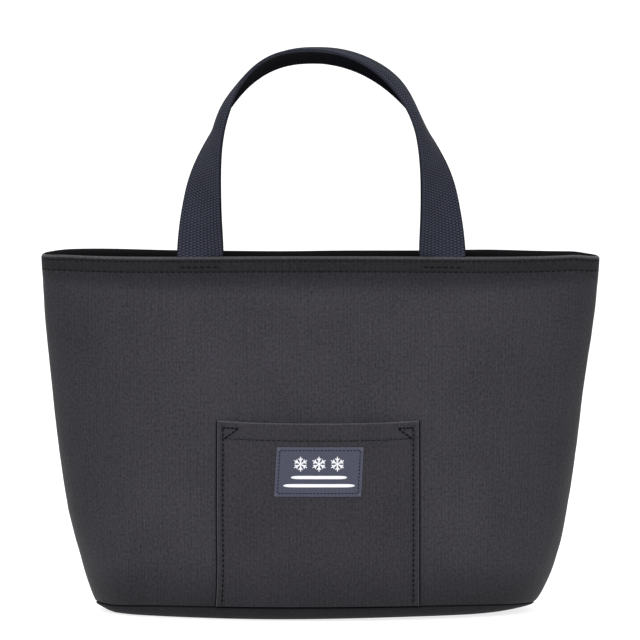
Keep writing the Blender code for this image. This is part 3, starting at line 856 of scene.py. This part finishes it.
def add_stitches(name, runs, material):
    """One object from several runs of stitches."""
    points, faces, first = [], [], 0
    for run_points, run_faces in runs:
        points.append(run_points)
        faces += [tuple(i + first for i in face) for face in run_faces]
        first += len(run_points)
    made = add_mesh(name, np.concatenate(points), faces, material, sharp=80)
    return made


def on_skin(h, z, side, lift):
    """Points and outward directions on a wall's outer surface."""
    h, z = np.broadcast_arrays(np.asarray(h, float), np.asarray(z, float))
    proud = skin(h, z, side) + lift
    here = wall(h, z, proud)
    up = wall(h, z, proud + 0.001) - here
    up /= np.linalg.norm(up, axis=-1, keepdims=True)
    return placed(here, side), turned(up, side)


def rim_stitches(side, hand):
    """The edge stitch and the hem's stitch row."""
    h = hand * np.linspace(0.0, 0.992, 120)
    runs = []
    for z, pitch, length, thick in ((EDGE_STITCH_Z, 0.0031, 0.0023, 0.0006),
                                    (HEM_STITCH_Z, 0.0031, 0.0023, 0.0007)):
        path, up = on_skin(h, np.full(len(h), z), side, 0.00002)
        runs.append(beads(path, up, pitch, length, thick))
    name = f"{SIDE_NAMES[side]}_rim_stitches_{HAND_NAMES[hand]}"
    hang(add_stitches(name, runs, THREAD))


def tack_stitches(side):
    """The short rows that hold the webbing, one under each leg."""
    runs = []
    for leg in (-1, 1):
        for z, wide in ((RIM_HEIGHT - 0.0056, 0.0105),):
            x = leg * LEG_OFFSET + np.linspace(-wide, wide, 24)
            level = np.full(len(x), z)
            path, up = on_skin(share_at(x, level), level, side, 0.00005)
            runs.append(beads(path, up, 0.0036, 0.0028, 0.0009))
    made = add_stitches(f"{SIDE_NAMES[side]}_tack_stitches", runs, THREAD)
    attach(made, f"{SIDE_NAMES[side]}_wall")


# ---------------------------------------------------------------- pocket and label


def pocket_gap(x, z):
    across = 1 - np.clip(np.abs(x - POCKET_X) / (POCKET_HALF_WIDTH - 0.003), 0, 1) ** 4
    rise = np.clip((z - SEAM_HEIGHT) / (BULGE_HEIGHT - SEAM_HEIGHT), 0, 1)
    return 0.0002 + POCKET_BULGE * 0.55 * across * rise


POCKET_EDGE = 0.0030
POCKET_HEM = 0.0092
POCKET_ROUND = 0.0006
# Width of the black strip of painted shadow outside the pocket's sides.
SHADOW_WIDTH = 0.0009


def pocket_top(x):
    """The pocket's top edge, which sags a little between its sewn corners."""
    return POCKET_TOP - 0.0010 * (1 - ((x - POCKET_X) / POCKET_HALF_WIDTH) ** 2)


def pocket_skin(x, z):
    """How proud of the outline the pocket's outer surface stands."""
    h = share_at(x, z)
    base = skin(h, z, FRONT)
    from_row = np.abs(x - POCKET_X) - (POCKET_HALF_WIDTH - POCKET_EDGE)
    thick = FABRIC + 0.0004 * smooth((z - (pocket_top(x) - POCKET_HEM)) / 0.001)
    thick = thick + 0.0007 * smooth(from_row / 0.0008)
    thick = thick - 0.0004 * bell(z - (pocket_top(x) - POCKET_HEM), 0.0006)
    thick = thick - 0.0005 * bell(from_row, 0.0007)
    return base + pocket_gap(x, z) + thick


def rounded_edge(distance, radius):
    """How far an edge has risen, from 0 at the edge to 1 a radius inside."""
    t = np.clip(distance / radius, 0, 1)
    return np.sqrt(1 - (1 - t) ** 2)


def border_steps(half, radius, count, power=1.0):
    """Positions from -half to half with extra ones at both borders, for a rounded edge."""
    edge = radius * (1 - np.cos(np.linspace(0, math.pi / 2, 5)))
    middle = np.linspace(-half + radius, half - radius, count)
    return np.concatenate([-half + edge[:-1], middle, (half - edge[:-1])[::-1]])


def mark_edges(piece, distance, width, material):
    """Give the outer faces nearer the border than this their own material."""
    piece.data.materials.append(material)
    index = len(piece.data.materials) - 1
    rows, columns = distance.shape
    for row in range(rows - 1):
        for col in range(columns - 1):
            if distance[row:row + 2, col:col + 2].mean() < width:
                piece.data.polygons[row * (columns - 1) + col].material_index = index


def pocket():
    """The patch pocket, folded at its sides and hemmed at its open top, with painted highlight along its folded edges
    and a black strip of painted shadow outside its sides.
    """
    row = POCKET_HALF_WIDTH - POCKET_EDGE + np.linspace(-0.0012, 0.0012, 5)
    border = POCKET_HALF_WIDTH + np.array([0.0001, SHADOW_WIDTH])
    xs = np.concatenate([border_steps(POCKET_HALF_WIDTH, POCKET_ROUND, 86), row, -row, border, -border])
    shares = border_steps(0.5, POCKET_ROUND / 0.098, 74)[4:] + 0.5
    shares = np.concatenate([shares, 1 - (POCKET_HEM + np.linspace(-0.0012, 0.0012, 5)) / 0.0985])
    xs, shares = np.meshgrid(np.sort(xs) + POCKET_X, np.sort(shares))
    bottom = SEAM_HEIGHT - 0.0006
    z = bottom + (pocket_top(xs) - bottom) * np.clip(shares, 0, 1)
    h = share_at(xs, z)
    floor = skin(h, z, FRONT) + pocket_gap(xs, z)
    side_edge = POCKET_HALF_WIDTH - np.abs(xs - POCKET_X)
    top_edge = pocket_top(xs) - z
    rise = rounded_edge(side_edge, POCKET_ROUND) * rounded_edge(top_edge, POCKET_ROUND)
    outer = settled(wall(h, z, floor + (pocket_skin(xs, z) - floor) * (0.15 + 0.85 * rise)), FRONT)
    inner = settled(wall(h, z, floor), FRONT)
    uv = np.stack([h * reach_of(z), z], -1)
    made = sheet_mesh("pocket", outer, inner, POCKET_KNIT, uv)
    # Painted highlight along the folded edges, in the paler rim copy of the knit.
    mark_edges(made, np.minimum(side_edge, top_edge), 0.0008, RIM_HIGHLIGHT_KNIT)
    # Painted shadow: the strip outside the sides takes the black thread's material.
    mark_edges(made, side_edge, 0.0, THREAD)
    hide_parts("front_pocket")
    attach(made, "front_wall")


def on_pocket(x, z, lift):
    """Points and outward directions on the pocket's outer surface."""
    x, z = np.broadcast_arrays(np.asarray(x, float), np.asarray(z, float))
    h = share_at(x, z)
    proud = pocket_skin(x, z) + lift
    here = wall(h, z, proud)
    up = wall(h, z, proud + 0.001) - here
    return settled(here, FRONT), up / np.linalg.norm(up, axis=-1, keepdims=True)


def line(start, end, steps=30):
    return np.linspace(start[0], end[0], steps), np.linspace(start[1], end[1], steps)


def pocket_stitches():
    """Rows down both sides, along the hem, and a triangle at each top corner."""
    inner = POCKET_HALF_WIDTH - POCKET_EDGE
    top = POCKET_TOP - 0.0036
    hem = POCKET_TOP - POCKET_HEM
    runs = []
    for hand in (-1, 1):
        side_row = (hand * inner, top), (hand * inner, 0.0085), (0.0027, 0.0018, 0.0012)
        inward = hand * (inner - 0.0085)
        top_row = (hand * inner, top), (inward, top - 0.0002), (0.0024, 0.0021, 0.0010)
        slant = (inward, top - 0.0002), (hand * (inner - 0.0012), hem), (0.0024, 0.0021, 0.0010)
        for start, end, stitch in (side_row, top_row, slant):
            x, z = line(start, end, 60)
            runs.append(beads(*on_pocket(x + POCKET_X, z, 0.0001), *stitch))
    x = np.linspace(-inner, inner, 90) + POCKET_X
    runs.append(beads(*on_pocket(x, pocket_top(x) - POCKET_HEM, 0.0), 0.0030, 0.0024, 0.0005))
    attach(add_stitches("pocket_stitches", runs, THREAD), "front_wall")


def label_place(u, v):
    """x and height on the pocket of a point of the label, which is sewn on a little askew."""
    x = LABEL_CENTRE[0] + LABEL_HALF_WIDTH * u + LABEL_SKEW * v
    return x, LABEL_CENTRE[1] + LABEL_HALF_HEIGHT * v


def label():
    """The woven label with its paler edge."""
    u = border_steps(1.0, 0.0004 / LABEL_HALF_WIDTH, 40)
    v = border_steps(1.0, 0.0004 / LABEL_HALF_HEIGHT, 26)
    u, v = np.meshgrid(u, v)
    x, z = label_place(u, v)
    edge = np.minimum((1 - np.abs(u)) * LABEL_HALF_WIDTH, (1 - np.abs(v)) * LABEL_HALF_HEIGHT)
    lift = LABEL_THICKNESS * (0.2 + 0.8 * rounded_edge(edge, 0.0004))
    lift = lift - 0.00018 * bell(edge - 0.0017, 0.0005)
    outer, _ = on_pocket(x, z, lift)
    inner, _ = on_pocket(x, z, -0.0001)
    uv = np.stack([x, z], -1)
    made = sheet_mesh("label", outer, inner, LABEL, uv)
    mark_edges(made, edge, 0.0009, LABEL_EDGE)
    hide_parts("front_label")
    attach(made, "front_wall")


def label_stitches():
    u, v = 1 - 0.0017 / LABEL_HALF_WIDTH, 1 - 0.0017 / LABEL_HALF_HEIGHT
    corners = [(-u, -v), (u, -v), (u, v), (-u, v), (-u, -v)]
    runs = []
    for start, end in zip(corners, corners[1:]):
        x, z = label_place(*line(start, end))
        runs.append(beads(*on_pocket(x, z, LABEL_THICKNESS - 0.0001), 0.0019, 0.0014, 0.0005))
    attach(add_stitches("label_stitches", runs, THREAD), "front_wall")


def strip_on_label(start, end, width):
    """A raised bar of embroidery, as (outer grid, inner grid)."""
    (x0, z0), (x1, z1) = start, end
    length = math.hypot(x1 - x0, z1 - z0)
    side = np.array([-(z1 - z0), x1 - x0]) / length * width / 2
    t = np.linspace(0, 1, max(3, int(length / 0.001)))
    ends = np.sqrt(np.clip(1 - np.abs(2 * t - 1) ** 12, 0.12, 1))
    grids = []
    for lifts in ((0.00004, 0.00020, 0.00004), (-0.0001, -0.0001, -0.0001)):
        rows = []
        for c, lift in zip((-1, 0, 1), lifts):
            x = x0 + (x1 - x0) * t + side[0] * c * ends
            z = z0 + (z1 - z0) * t + side[1] * c * ends
            rows.append(on_pocket(x, z, LABEL_THICKNESS + lift)[0])
        grids.append(np.array(rows))
    return grids


def motif_lines():
    """A row of three plain snow crystals over two plain stripes, (start, end, width) on the label."""
    cz = LABEL_CENTRE[1] + 0.0042
    lines = []
    for cx in LABEL_CENTRE[0] + np.array([-0.0096, 0.0, 0.0096]):
        for k in range(6):
            angle = math.pi / 6 + k * math.pi / 3
            d = np.array([math.cos(angle), math.sin(angle)])
            lines.append(((cx, cz), (cx + 0.0039 * d[0], cz + 0.0039 * d[1]), 0.0010))
            for turn in (-1, 1):
                b = angle + turn * math.radians(52)
                root = (cx + 0.0020 * d[0], cz + 0.0020 * d[1])
                tip = (root[0] + 0.0015 * math.cos(b), root[1] + 0.0015 * math.sin(b))
                lines.append((root, tip, 0.0008))
    for drop, half in ((0.0028, 0.0145), (0.0071, 0.0185)):
        z = LABEL_CENTRE[1] - drop
        lines.append(((LABEL_CENTRE[0] - half, z), (LABEL_CENTRE[0] + half, z), 0.0017))
    return lines


def label_motif():
    points, faces, first = [], [], 0
    for start, end, width in motif_lines():
        outer, inner = strip_on_label(start, end, width)
        rows, columns, _ = outer.shape
        count = rows * columns
        part = grid_faces(rows, columns)
        part += [tuple(i + count for i in face) for face in grid_faces(rows, columns, True)]
        edge = list(range(columns)) + [r * columns + columns - 1 for r in range(1, rows)]
        edge += [(rows - 1) * columns + c for c in reversed(range(columns - 1))]
        edge += [r * columns for r in reversed(range(1, rows - 1))]
        part += [(b, a, count + a, count + b) for a, b in zip(edge, edge[1:] + edge[:1])]
        points.append(np.concatenate([outer.reshape(-1, 3), inner.reshape(-1, 3)]))
        faces += [tuple(i + first for i in face) for face in part]
        first += 2 * count
    made = add_mesh("label_motif", np.concatenate(points), faces, MOTIF, sharp=60)
    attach(made, "front_wall")


# ---------------------------------------------------------------- handles


APEX_SHIFT = {FRONT: -0.0055, BACK: -0.0025}
BACK_DROP = 0.0008


def arch_point(angle, side):
    """Centre line of the webbing above the rim, and how far up the arch it is, 0 to 1."""
    c, s = math.cos(angle), math.sin(angle)
    t = abs(s) ** (2 / ARCH_POWER)
    x = LEG_OFFSET * math.copysign(abs(c) ** (2 / ARCH_POWER), c)
    y = -LEG_Y + (LEG_Y - APEX_Y) * t**1.5
    high = ARCH_HEIGHT if side == FRONT else ARCH_HEIGHT - BACK_DROP
    shift = APEX_SHIFT[side] * t**6 + LEG_SHIFT * (1 - 2 * t)
    return np.array([x + shift, y, HANDLE_START + high * t]), t


def webbing_path(side):
    """Stations along the webbing: centre, across, face and the distance from its start."""
    angles = np.linspace(0, math.pi, 1200)
    centres, ts = zip(*(arch_point(a, side) for a in angles))
    centres, ts = np.array(centres), np.array(ts)
    along = np.gradient(centres, axis=0)
    along /= np.linalg.norm(along, axis=1, keepdims=True)
    outward = np.stack([along[:, 2], np.zeros(len(along)), -along[:, 0]], -1)
    outward /= np.linalg.norm(outward, axis=1, keepdims=True)
    forward = np.array([0.0, -1.0, 0.0])
    twist = (TWIST * ts**TWIST_POWER + TURN_OVER * smooth((ts - 0.25) / 0.5))[:, None]
    across = outward * np.cos(twist) - forward * np.sin(twist)
    face = forward * np.cos(twist) + outward * np.sin(twist)
    sewn = []
    for leg, order in ((1, 1), (-1, -1)):
        z = np.linspace(RIM_HEIGHT - SEWN_LENGTH, RIM_HEIGHT - 0.001, 14)[::order]
        x = np.full(len(z), leg * LEG_OFFSET + LEG_SHIFT)
        sewn.append(wall(share_at(x, z), z, -SEWN_MIDDLE))
    near, far = sewn
    centre = np.concatenate([near, centres, far])
    across = np.concatenate([np.repeat([[1.0, 0, 0]], len(near), 0), across,
                             np.repeat([[-1.0, 0, 0]], len(far), 0)])
    face = np.concatenate([np.repeat([[0, -1.0, 0]], len(near), 0), face,
                           np.repeat([[0, -1.0, 0]], len(far), 0)])
    rise = np.concatenate([np.zeros(len(near)), ts, np.zeros(len(far))])
    distance = np.concatenate([[0], np.cumsum(np.linalg.norm(np.diff(centre, axis=0), axis=1))])
    keep = np.linspace(0, distance[-1], 230)
    pick = lambda values: np.stack([np.interp(keep, distance, values[:, i]) for i in range(3)], -1)
    centre, across, face = pick(centre), pick(across), pick(face)
    across /= np.linalg.norm(across, axis=1, keepdims=True)
    face /= np.linalg.norm(face, axis=1, keepdims=True)
    return centre, across, face, np.interp(keep, distance, rise), keep


def webbing_ring(steps=24):
    """The webbing's section: (across -1 to 1, side of the cloth -1 to 1), round both edges."""
    u = np.linspace(-1, 1, steps)
    edge = np.linspace(math.pi / 2, -math.pi / 2, 6)[1:-1]
    r = WEBBING_THICKNESS / WEBBING_WIDTH
    top = [(a * (1 - r), 1.0) for a in u]
    right = [(1 - r + r * math.cos(e), math.sin(e)) for e in edge]
    bottom = [(-a * (1 - r), -1.0) for a in u]
    left = [(-(1 - r + r * math.cos(e)), -math.sin(e)) for e in edge]
    return np.array(top + right + bottom + left)


CUP = {-1: 0.0016, 1: 0.0026}
NECK = {-1: (0.0023, 0.72, 0.12), 1: (0.0030, 0.85, 0.13)}


def handle(side):
    """One webbing handle, from its sewn-in ends over the arch."""
    centre, across, face, rise, distance = webbing_path(side)
    section = webbing_ring()
    cup = CUP[-1] + (CUP[1] - CUP[-1]) * smooth(0.5 + centre[:, 0] / 0.06)
    cup = cup * smooth((rise - 0.3) / 0.4)
    neck = sum(deep * bell(rise - at, width) * smooth(0.5 + hand * centre[:, 0] / 0.03)
               for hand, (deep, at, width) in NECK.items())
    rings, uvs = [], []
    for k in range(len(centre)):
        u, v = section[:, :1], section[:, 1:]
        bow = cup[k] * (0.35 - u**2) + neck[k] * (0.8 - u**2)
        ring = centre[k] + across[k] * u * WEBBING_WIDTH / 2
        ring = ring + face[k] * (v * WEBBING_THICKNESS / 2 + bow)
        rings.append(ring)
        uvs.append(np.concatenate([u * WEBBING_WIDTH / 2 + np.where(v < 0, 0.1, 0.0), np.full_like(u, distance[k])], -1))
    rings = settled(np.array(rings) * np.array([1.0, -side, 1.0]), side)
    name = f"{SIDE_NAMES[side]}_strap"
    size = rings.shape[1]
    made = loft(name, rings, WEBBING, np.array(uvs), sharp=60, flip=side == FRONT, capped=False)
    made.data.materials.append(WEBBING_SHADED)
    # Painted shade on the underside and on one edge, in the darker copy of the webbing.
    shaded = (section[:, 1] < -0.9) | (section[:, 0] > 0.96)
    for face in made.data.polygons:
        face.material_index = int(shaded[face.index % size] and shaded[(face.index + 1) % size])
    close_ends(made, len(rings), size)
    label_side = SIDE_NAMES[side]
    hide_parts(f"{label_side}_handle", f"{label_side}_handle_end_left",
                f"{label_side}_handle_end_right")
    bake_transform(made)


def close_ends(piece, rings, size):
    """Cap both ends of a loft with one face each."""
    import bmesh
    shape = bmesh.new()
    shape.from_mesh(piece.data)
    open_edges = [e for e in shape.edges if e.is_boundary]
    bmesh.ops.edgeloop_fill(shape, edges=open_edges)
    bmesh.ops.recalc_face_normals(shape, faces=shape.faces)
    shape.to_mesh(piece.data)
    shape.free()


# ---------------------------------------------------------------- zip


def zip_tape(side, hand):
    """Half of a zip tape, from inside the wall to under the coil."""
    x = hand * np.linspace(0, TAPE_HALF_LENGTH, 70)
    level = np.full(len(x), ZIP_HEIGHT)
    _, _, r, long_r, _ = sizes(ZIP_HEIGHT)
    b = sizes(ZIP_HEIGHT)[1]
    wall_y = np.sqrt((long_r - 0.0030) ** 2 - x**2) - (long_r - b)
    inner_y = 0.0012 + (0.0053 - 0.0012) * smooth((np.abs(x) - COIL_HALF_LENGTH) / 0.003)
    rows_top, rows_low, uvs = [], [], []
    for t in np.linspace(0, 1, 9):
        y = -(wall_y + (inner_y - wall_y) * t)
        sag = -0.0006 * np.sin(math.pi * t) * (1 + 0.3 * np.sin(x * 120))
        rows_top.append(np.stack([x, y, ZIP_HEIGHT + 0.00025 + sag], -1))
        rows_low.append(np.stack([x, y, ZIP_HEIGHT - 0.00025 + sag], -1))
        uvs.append(np.stack([x, -y], -1))
    name = f"{SIDE_NAMES[side]}_zip_tape_{HAND_NAMES[hand]}"
    made = sheet_mesh(name, turned(np.array(rows_top), side), turned(np.array(rows_low), side), TAPE,
                      np.array(uvs), flip=hand > 0)
    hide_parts(f"zip_tape_{SIDE_NAMES[side]}")
    hang(made)


def tooth():
    """One turn of the coil: a rounded loop round the tape's edge."""
    points, faces = [], []
    steps, sides = 10, 5
    for k in range(steps):
        angle = 2 * math.pi * k / steps
        centre = np.array([0.00018 * math.sin(angle), 0.0014 * math.cos(angle), 0.0009 * math.sin(angle)])
        outward = np.array([0.0, math.cos(angle), 1.3 * math.sin(angle)])
        outward /= np.linalg.norm(outward)
        for j in range(sides):
            a = 2 * math.pi * j / sides
            points.append(centre + outward * 0.00030 * math.cos(a) + np.array([0.00036 * math.sin(a), 0, 0]))
    for k in range(steps):
        for j in range(sides):
            a, b = k * sides, ((k + 1) % steps) * sides
            i = (j + 1) % sides
            faces.append((a + j, b + j, b + i, a + i))
    return np.array(points), faces


def zip_coil(side, hand):
    """Half of one row of coil, its turns meshing with the other row's."""
    shape, shape_faces = tooth()
    count = int(COIL_HALF_LENGTH / TEETH_PITCH)
    shift = 0.25 if side == FRONT else 0.75
    points, faces = [], []
    for k in range(count):
        x = hand * (k + shift) * TEETH_PITCH
        place = shape + np.array([x, -0.0012, ZIP_HEIGHT])
        faces += [tuple(i + len(points) * len(shape) for i in face) for face in shape_faces]
        points.append(turned(place, side))
    name = f"{SIDE_NAMES[side]}_zip_coil_{HAND_NAMES[hand]}"
    made = add_mesh(name, np.concatenate(points), faces, NYLON, sharp=80)
    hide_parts(f"zip_coil_{SIDE_NAMES[side]}")
    hang(made)


def pad(name, low, high, material, power=6):
    """A small soft block with rounded edges."""
    low, high = np.array(low), np.array(high)
    half, centre = (high - low) / 2, (high + low) / 2
    rings = []
    for polar in np.linspace(-math.pi / 2, math.pi / 2, 13)[1:-1]:
        ring = []
        for k in range(32):
            around = 2 * math.pi * k / 32
            d = np.array([math.cos(polar) * math.cos(around), math.cos(polar) * math.sin(around), math.sin(polar)])
            ring.append(centre + half * d / (np.abs(d) ** power).sum() ** (1 / power))
        rings.append(ring)
    made = loft(name, np.array(rings), material, None, 50, False, False)
    close_ends(made, len(rings), 32)
    return made


def zip_end_tabs():
    """The folded tab across each end of the zip."""
    for hand in (-1, 1):
        xs = sorted((hand * 0.1222, hand * 0.1370))
        name = f"zip_tab_{HAND_NAMES[hand]}"
        made = pad(name, (xs[0], -0.0034, ZIP_HEIGHT - 0.0009), (xs[1], 0.0034, ZIP_HEIGHT + 0.0009), TAPE)
        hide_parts(f"zip_end_tab_{HAND_NAMES[hand]}")
        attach(made, "base")


def slab(points_2d, low, high):
    """Points and faces of a flat outline made thick."""
    count = len(points_2d)
    points = [(x, y, z) for z in (low, high) for x, y in points_2d]
    faces = [tuple(reversed(range(count))), tuple(range(count, 2 * count))]
    faces += [(i, (i + 1) % count, count + (i + 1) % count, count + i) for i in range(count)]
    return points, faces


def joined(parts):
    points, faces = [], []
    for part_points, part_faces in parts:
        faces += [tuple(i + len(points) for i in face) for face in part_faces]
        points += list(part_points)
    return points, faces


def bevelled(piece, width, segments=3):
    """Round a piece's sharp edges with a bevel modifier."""
    change = piece.modifiers.new("bevel", "BEVEL")
    change.width = width
    change.segments = segments
    change.limit_method = "ANGLE"
    change.angle_limit = math.radians(35)
    change.harden_normals = False
    return piece


def shield(half_long, half_wide, steps=20):
    """The slider's plate outline: broad where the tapes part, rounded at both ends."""
    outline = []
    for k in range(steps * 2):
        angle = 2 * math.pi * k / (steps * 2)
        c, s = math.cos(angle), math.sin(angle)
        x = half_long * math.copysign(abs(c) ** 0.45, c)
        narrow = 1 - 0.14 * (0.5 - 0.5 * x / half_long)
        outline.append((SLIDER_X + x, half_wide * narrow * math.copysign(abs(s) ** 0.5, s)))
    return outline


def tube(path, radius, sides=10):
    """Points and faces of a round bar along a path."""
    path = np.array(path, float)
    along = np.gradient(path, axis=0)
    along /= np.linalg.norm(along, axis=1, keepdims=True)
    points, faces = [], []
    for k, centre in enumerate(path):
        first = np.cross(along[k], [0.0, 1.0, 0.0])
        if np.linalg.norm(first) < 0.3:
            first = np.cross(along[k], [1.0, 0.0, 0.0])
        first /= np.linalg.norm(first)
        second = np.cross(along[k], first)
        for j in range(sides):
            a = 2 * math.pi * j / sides
            points.append(tuple(centre + radius * (first * math.cos(a) + second * math.sin(a))))
    for k in range(len(path) - 1):
        for j in range(sides):
            i = (j + 1) % sides
            a, b = k * sides, (k + 1) * sides
            faces.append((a + j, a + i, b + i, b + j))
    faces.append(tuple(reversed(range(sides))))
    faces.append(tuple((len(path) - 1) * sides + j for j in range(sides)))
    return points, faces


def zip_slider():
    """The slider: two plates, the post between them, side flanges and an arched bridge."""
    plate, gap = 0.0011, 0.0018
    outline = shield(0.006, 0.0049)
    parts = [slab(outline, ZIP_HEIGHT + gap, ZIP_HEIGHT + gap + plate),
             slab(outline, ZIP_HEIGHT - gap - plate, ZIP_HEIGHT - gap),
             slab([(SLIDER_X + 0.0005, -0.0003), (SLIDER_X + 0.0052, -0.0012),
                   (SLIDER_X + 0.0052, 0.0012), (SLIDER_X + 0.0005, 0.0003)],
                  ZIP_HEIGHT - gap - 0.0001, ZIP_HEIGHT + gap + 0.0001)]
    for hand in (-1, 1):
        for low, high in ((0.0008, gap + 0.0001), (-gap - 0.0001, -0.0008)):
            flange = [(SLIDER_X - 0.0050, hand * 0.0039), (SLIDER_X + 0.0030, hand * 0.0039),
                      (SLIDER_X + 0.0030, hand * 0.0046), (SLIDER_X - 0.0050, hand * 0.0046)]
            if hand < 0:
                flange.reverse()
            parts.append(slab(flange, ZIP_HEIGHT + low, ZIP_HEIGHT + high))
    top = ZIP_HEIGHT + gap + plate
    arch = [(SLIDER_X + 0.0042 * math.cos(a), 0.0, top - 0.0004 + 0.0034 * math.sin(a))
            for a in np.linspace(0, math.pi, 15)]
    parts.append(tube(arch, 0.0007, 12))
    points, faces = joined(parts)
    made = add_mesh("slider", points, faces, METAL, sharp=40)
    bevelled(made, 0.00025)
    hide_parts("zip_slider")
    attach(made, "zip_slider")


def pull_outline(half_wide, tip, root, steps=14):
    """A tab that widens to a round tip, as a closed outline."""
    outline = [(root, -half_wide * 0.62), (root, half_wide * 0.62)]
    centre = tip + half_wide
    for k in range(steps + 1):
        a = math.pi / 2 + math.pi * k / steps
        outline.append((centre + half_wide * math.cos(a), half_wide * math.sin(a)))
    return outline[::-1]


def zip_pull():
    """The pull: a tab with a slot near its tip, and the fork and pin that hold it to the slider."""
    root, tip = SLIDER_X - 0.0062, SLIDER_X - 0.024
    outer = resampled(pull_outline(0.0029, tip, root), 48)
    inner = resampled(pull_outline(0.0013, tip + 0.0018, tip + 0.0090), 48)
    z0, z1 = PIN_Z - 0.00065, PIN_Z + 0.00065
    rings = []
    for ring, z in ((outer, z0), (outer, z1), (inner, z1), (inner, z0)):
        rings.append([(x, y, z) for x, y in ring])
    points, faces = [], []
    for ring in rings:
        points += ring
    for k in range(4):
        for i in range(48):
            j = (i + 1) % 48
            a, b = k * 48, ((k + 1) % 4) * 48
            faces.append((a + i, a + j, b + j, b + i))
    parts = [(points, faces)]
    for hand in (-1, 1):
        y = hand * 0.0021
        arm = [(root - 0.0008, y * 0.75, PIN_Z), (root + 0.0008, y * 0.9, PIN_Z), (root + 0.003, y, PIN_Z),
               (SLIDER_X - 0.0006, y, PIN_Z), (SLIDER_X, y * 0.95, PIN_Z)]
        parts.append(tube(arm, 0.00055, 8))
    parts.append(tube([(SLIDER_X, -0.0022, PIN_Z), (SLIDER_X, 0.0, PIN_Z), (SLIDER_X, 0.0022, PIN_Z)], 0.0005, 10))
    points, faces = joined(parts)
    made = add_mesh("pull", points, faces, METAL, sharp=40)
    bevelled(made, 0.0002)
    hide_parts("zip_pull")
    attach(made, "zip_pull")


def resampled(outline, count):
    """A closed outline as this many even steps."""
    ring = np.array(list(outline) + [outline[0]])
    distance = np.concatenate([[0], np.cumsum(np.linalg.norm(np.diff(ring, axis=0), axis=1))])
    at = np.linspace(0, distance[-1], count + 1)[:-1]
    return [(np.interp(d, distance, ring[:, 0]), np.interp(d, distance, ring[:, 1])) for d in at]


# ---------------------------------------------------------------- studio


def floor():
    """A pale sweep: flat under the bag, curving up far behind it."""
    rows = []
    for k in range(60):
        t = k / 59
        if t < 0.55:
            rows.append((-9.0 + 15.0 * t / 0.55, 0.0))
        else:
            angle = (t - 0.55) / 0.45 * math.pi / 2
            rows.append((6.0 + 5.0 * math.sin(angle), 5.0 - 5.0 * math.cos(angle)))
    points = np.array([[(x, y, z - 0.0001) for x in np.linspace(-9, 9, 13)] for y, z in rows])
    made = add_mesh("floor", points, grid_faces(60, 13), FLOOR, sharp=60)


def area_light(name, place, aim, size, power):
    light = bpy.data.lights.new(name, "AREA")
    light.shape = "RECTANGLE"
    light.size, light.size_y = size
    light.energy = power
    made = bpy.data.objects.new(name, light)
    made.location = place
    made.rotation_euler = (Vector(aim) - Vector(place)).to_track_quat("-Z", "Y").to_euler()
    bpy.context.collection.objects.link(made)


def spot_light(name, place, aim, angle, power):
    light = bpy.data.lights.new(name, "SPOT")
    light.spot_size = math.radians(angle)
    light.spot_blend = 1.0
    light.shadow_soft_size = 0.25
    light.energy = power
    made = bpy.data.objects.new(name, light)
    made.location = place
    made.rotation_euler = (Vector(aim) - Vector(place)).to_track_quat("-Z", "Y").to_euler()
    bpy.context.collection.objects.link(made)


def studio():
    world = bpy.data.worlds.new("studio")
    world.use_nodes = True
    background = world.node_tree.nodes["Background"]
    background.inputs["Color"].default_value = (1.0, 1.0, 1.0, 1.0)
    background.inputs["Strength"].default_value = 1.0
    bpy.context.scene.world = world
    area_light("key", (-1.0, -2.6, 2.2), (0, 0, 0.12), (2.2, 1.6), 44)
    area_light("fill", (1.9, -2.2, 1.0), (0, 0, 0.12), (1.6, 1.6), 12.5)
    spot_light("middle", (-0.2, -2.4, 1.1), (-0.005, 0, 0.12), 11, 100)
    area_light("top", (0.0, 0.3, 2.6), (0, 0, 0.1), (2.4, 1.8), 24)


CAMERA_PLACE = (-0.0003, -3.5, 0.39)
CAMERA_AIM = (-0.0003, 0.0, 0.1564)
CAMERA_LENS = 367.0


def camera():
    data = bpy.data.cameras.new("camera")
    data.lens = CAMERA_LENS
    data.sensor_width = 36.0
    data.clip_end = 100
    made = bpy.data.objects.new("camera", data)
    made.location = CAMERA_PLACE
    made.rotation_euler = (Vector(CAMERA_AIM) - Vector(CAMERA_PLACE)).to_track_quat("-Z", "Y").to_euler()
    bpy.context.collection.objects.link(made)
    bpy.context.scene.camera = made


def main():
    for side in (FRONT, BACK):
        for hand in (-1, 1):
            shell(side, hand)
            facing(side, hand)
            wall_lining(side, hand)
            rim_stitches(side, hand)
            zip_tape(side, hand)
            zip_coil(side, hand)
        tack_stitches(side)
        handle(side)
    base_tray()
    base_liner()
    pocket()
    pocket_stitches()
    label()
    label_stitches()
    label_motif()
    zip_end_tabs()
    zip_slider()
    zip_pull()
    floor()
    studio()
    camera()
    bpy.context.scene.view_settings.view_transform = "Standard"


main()
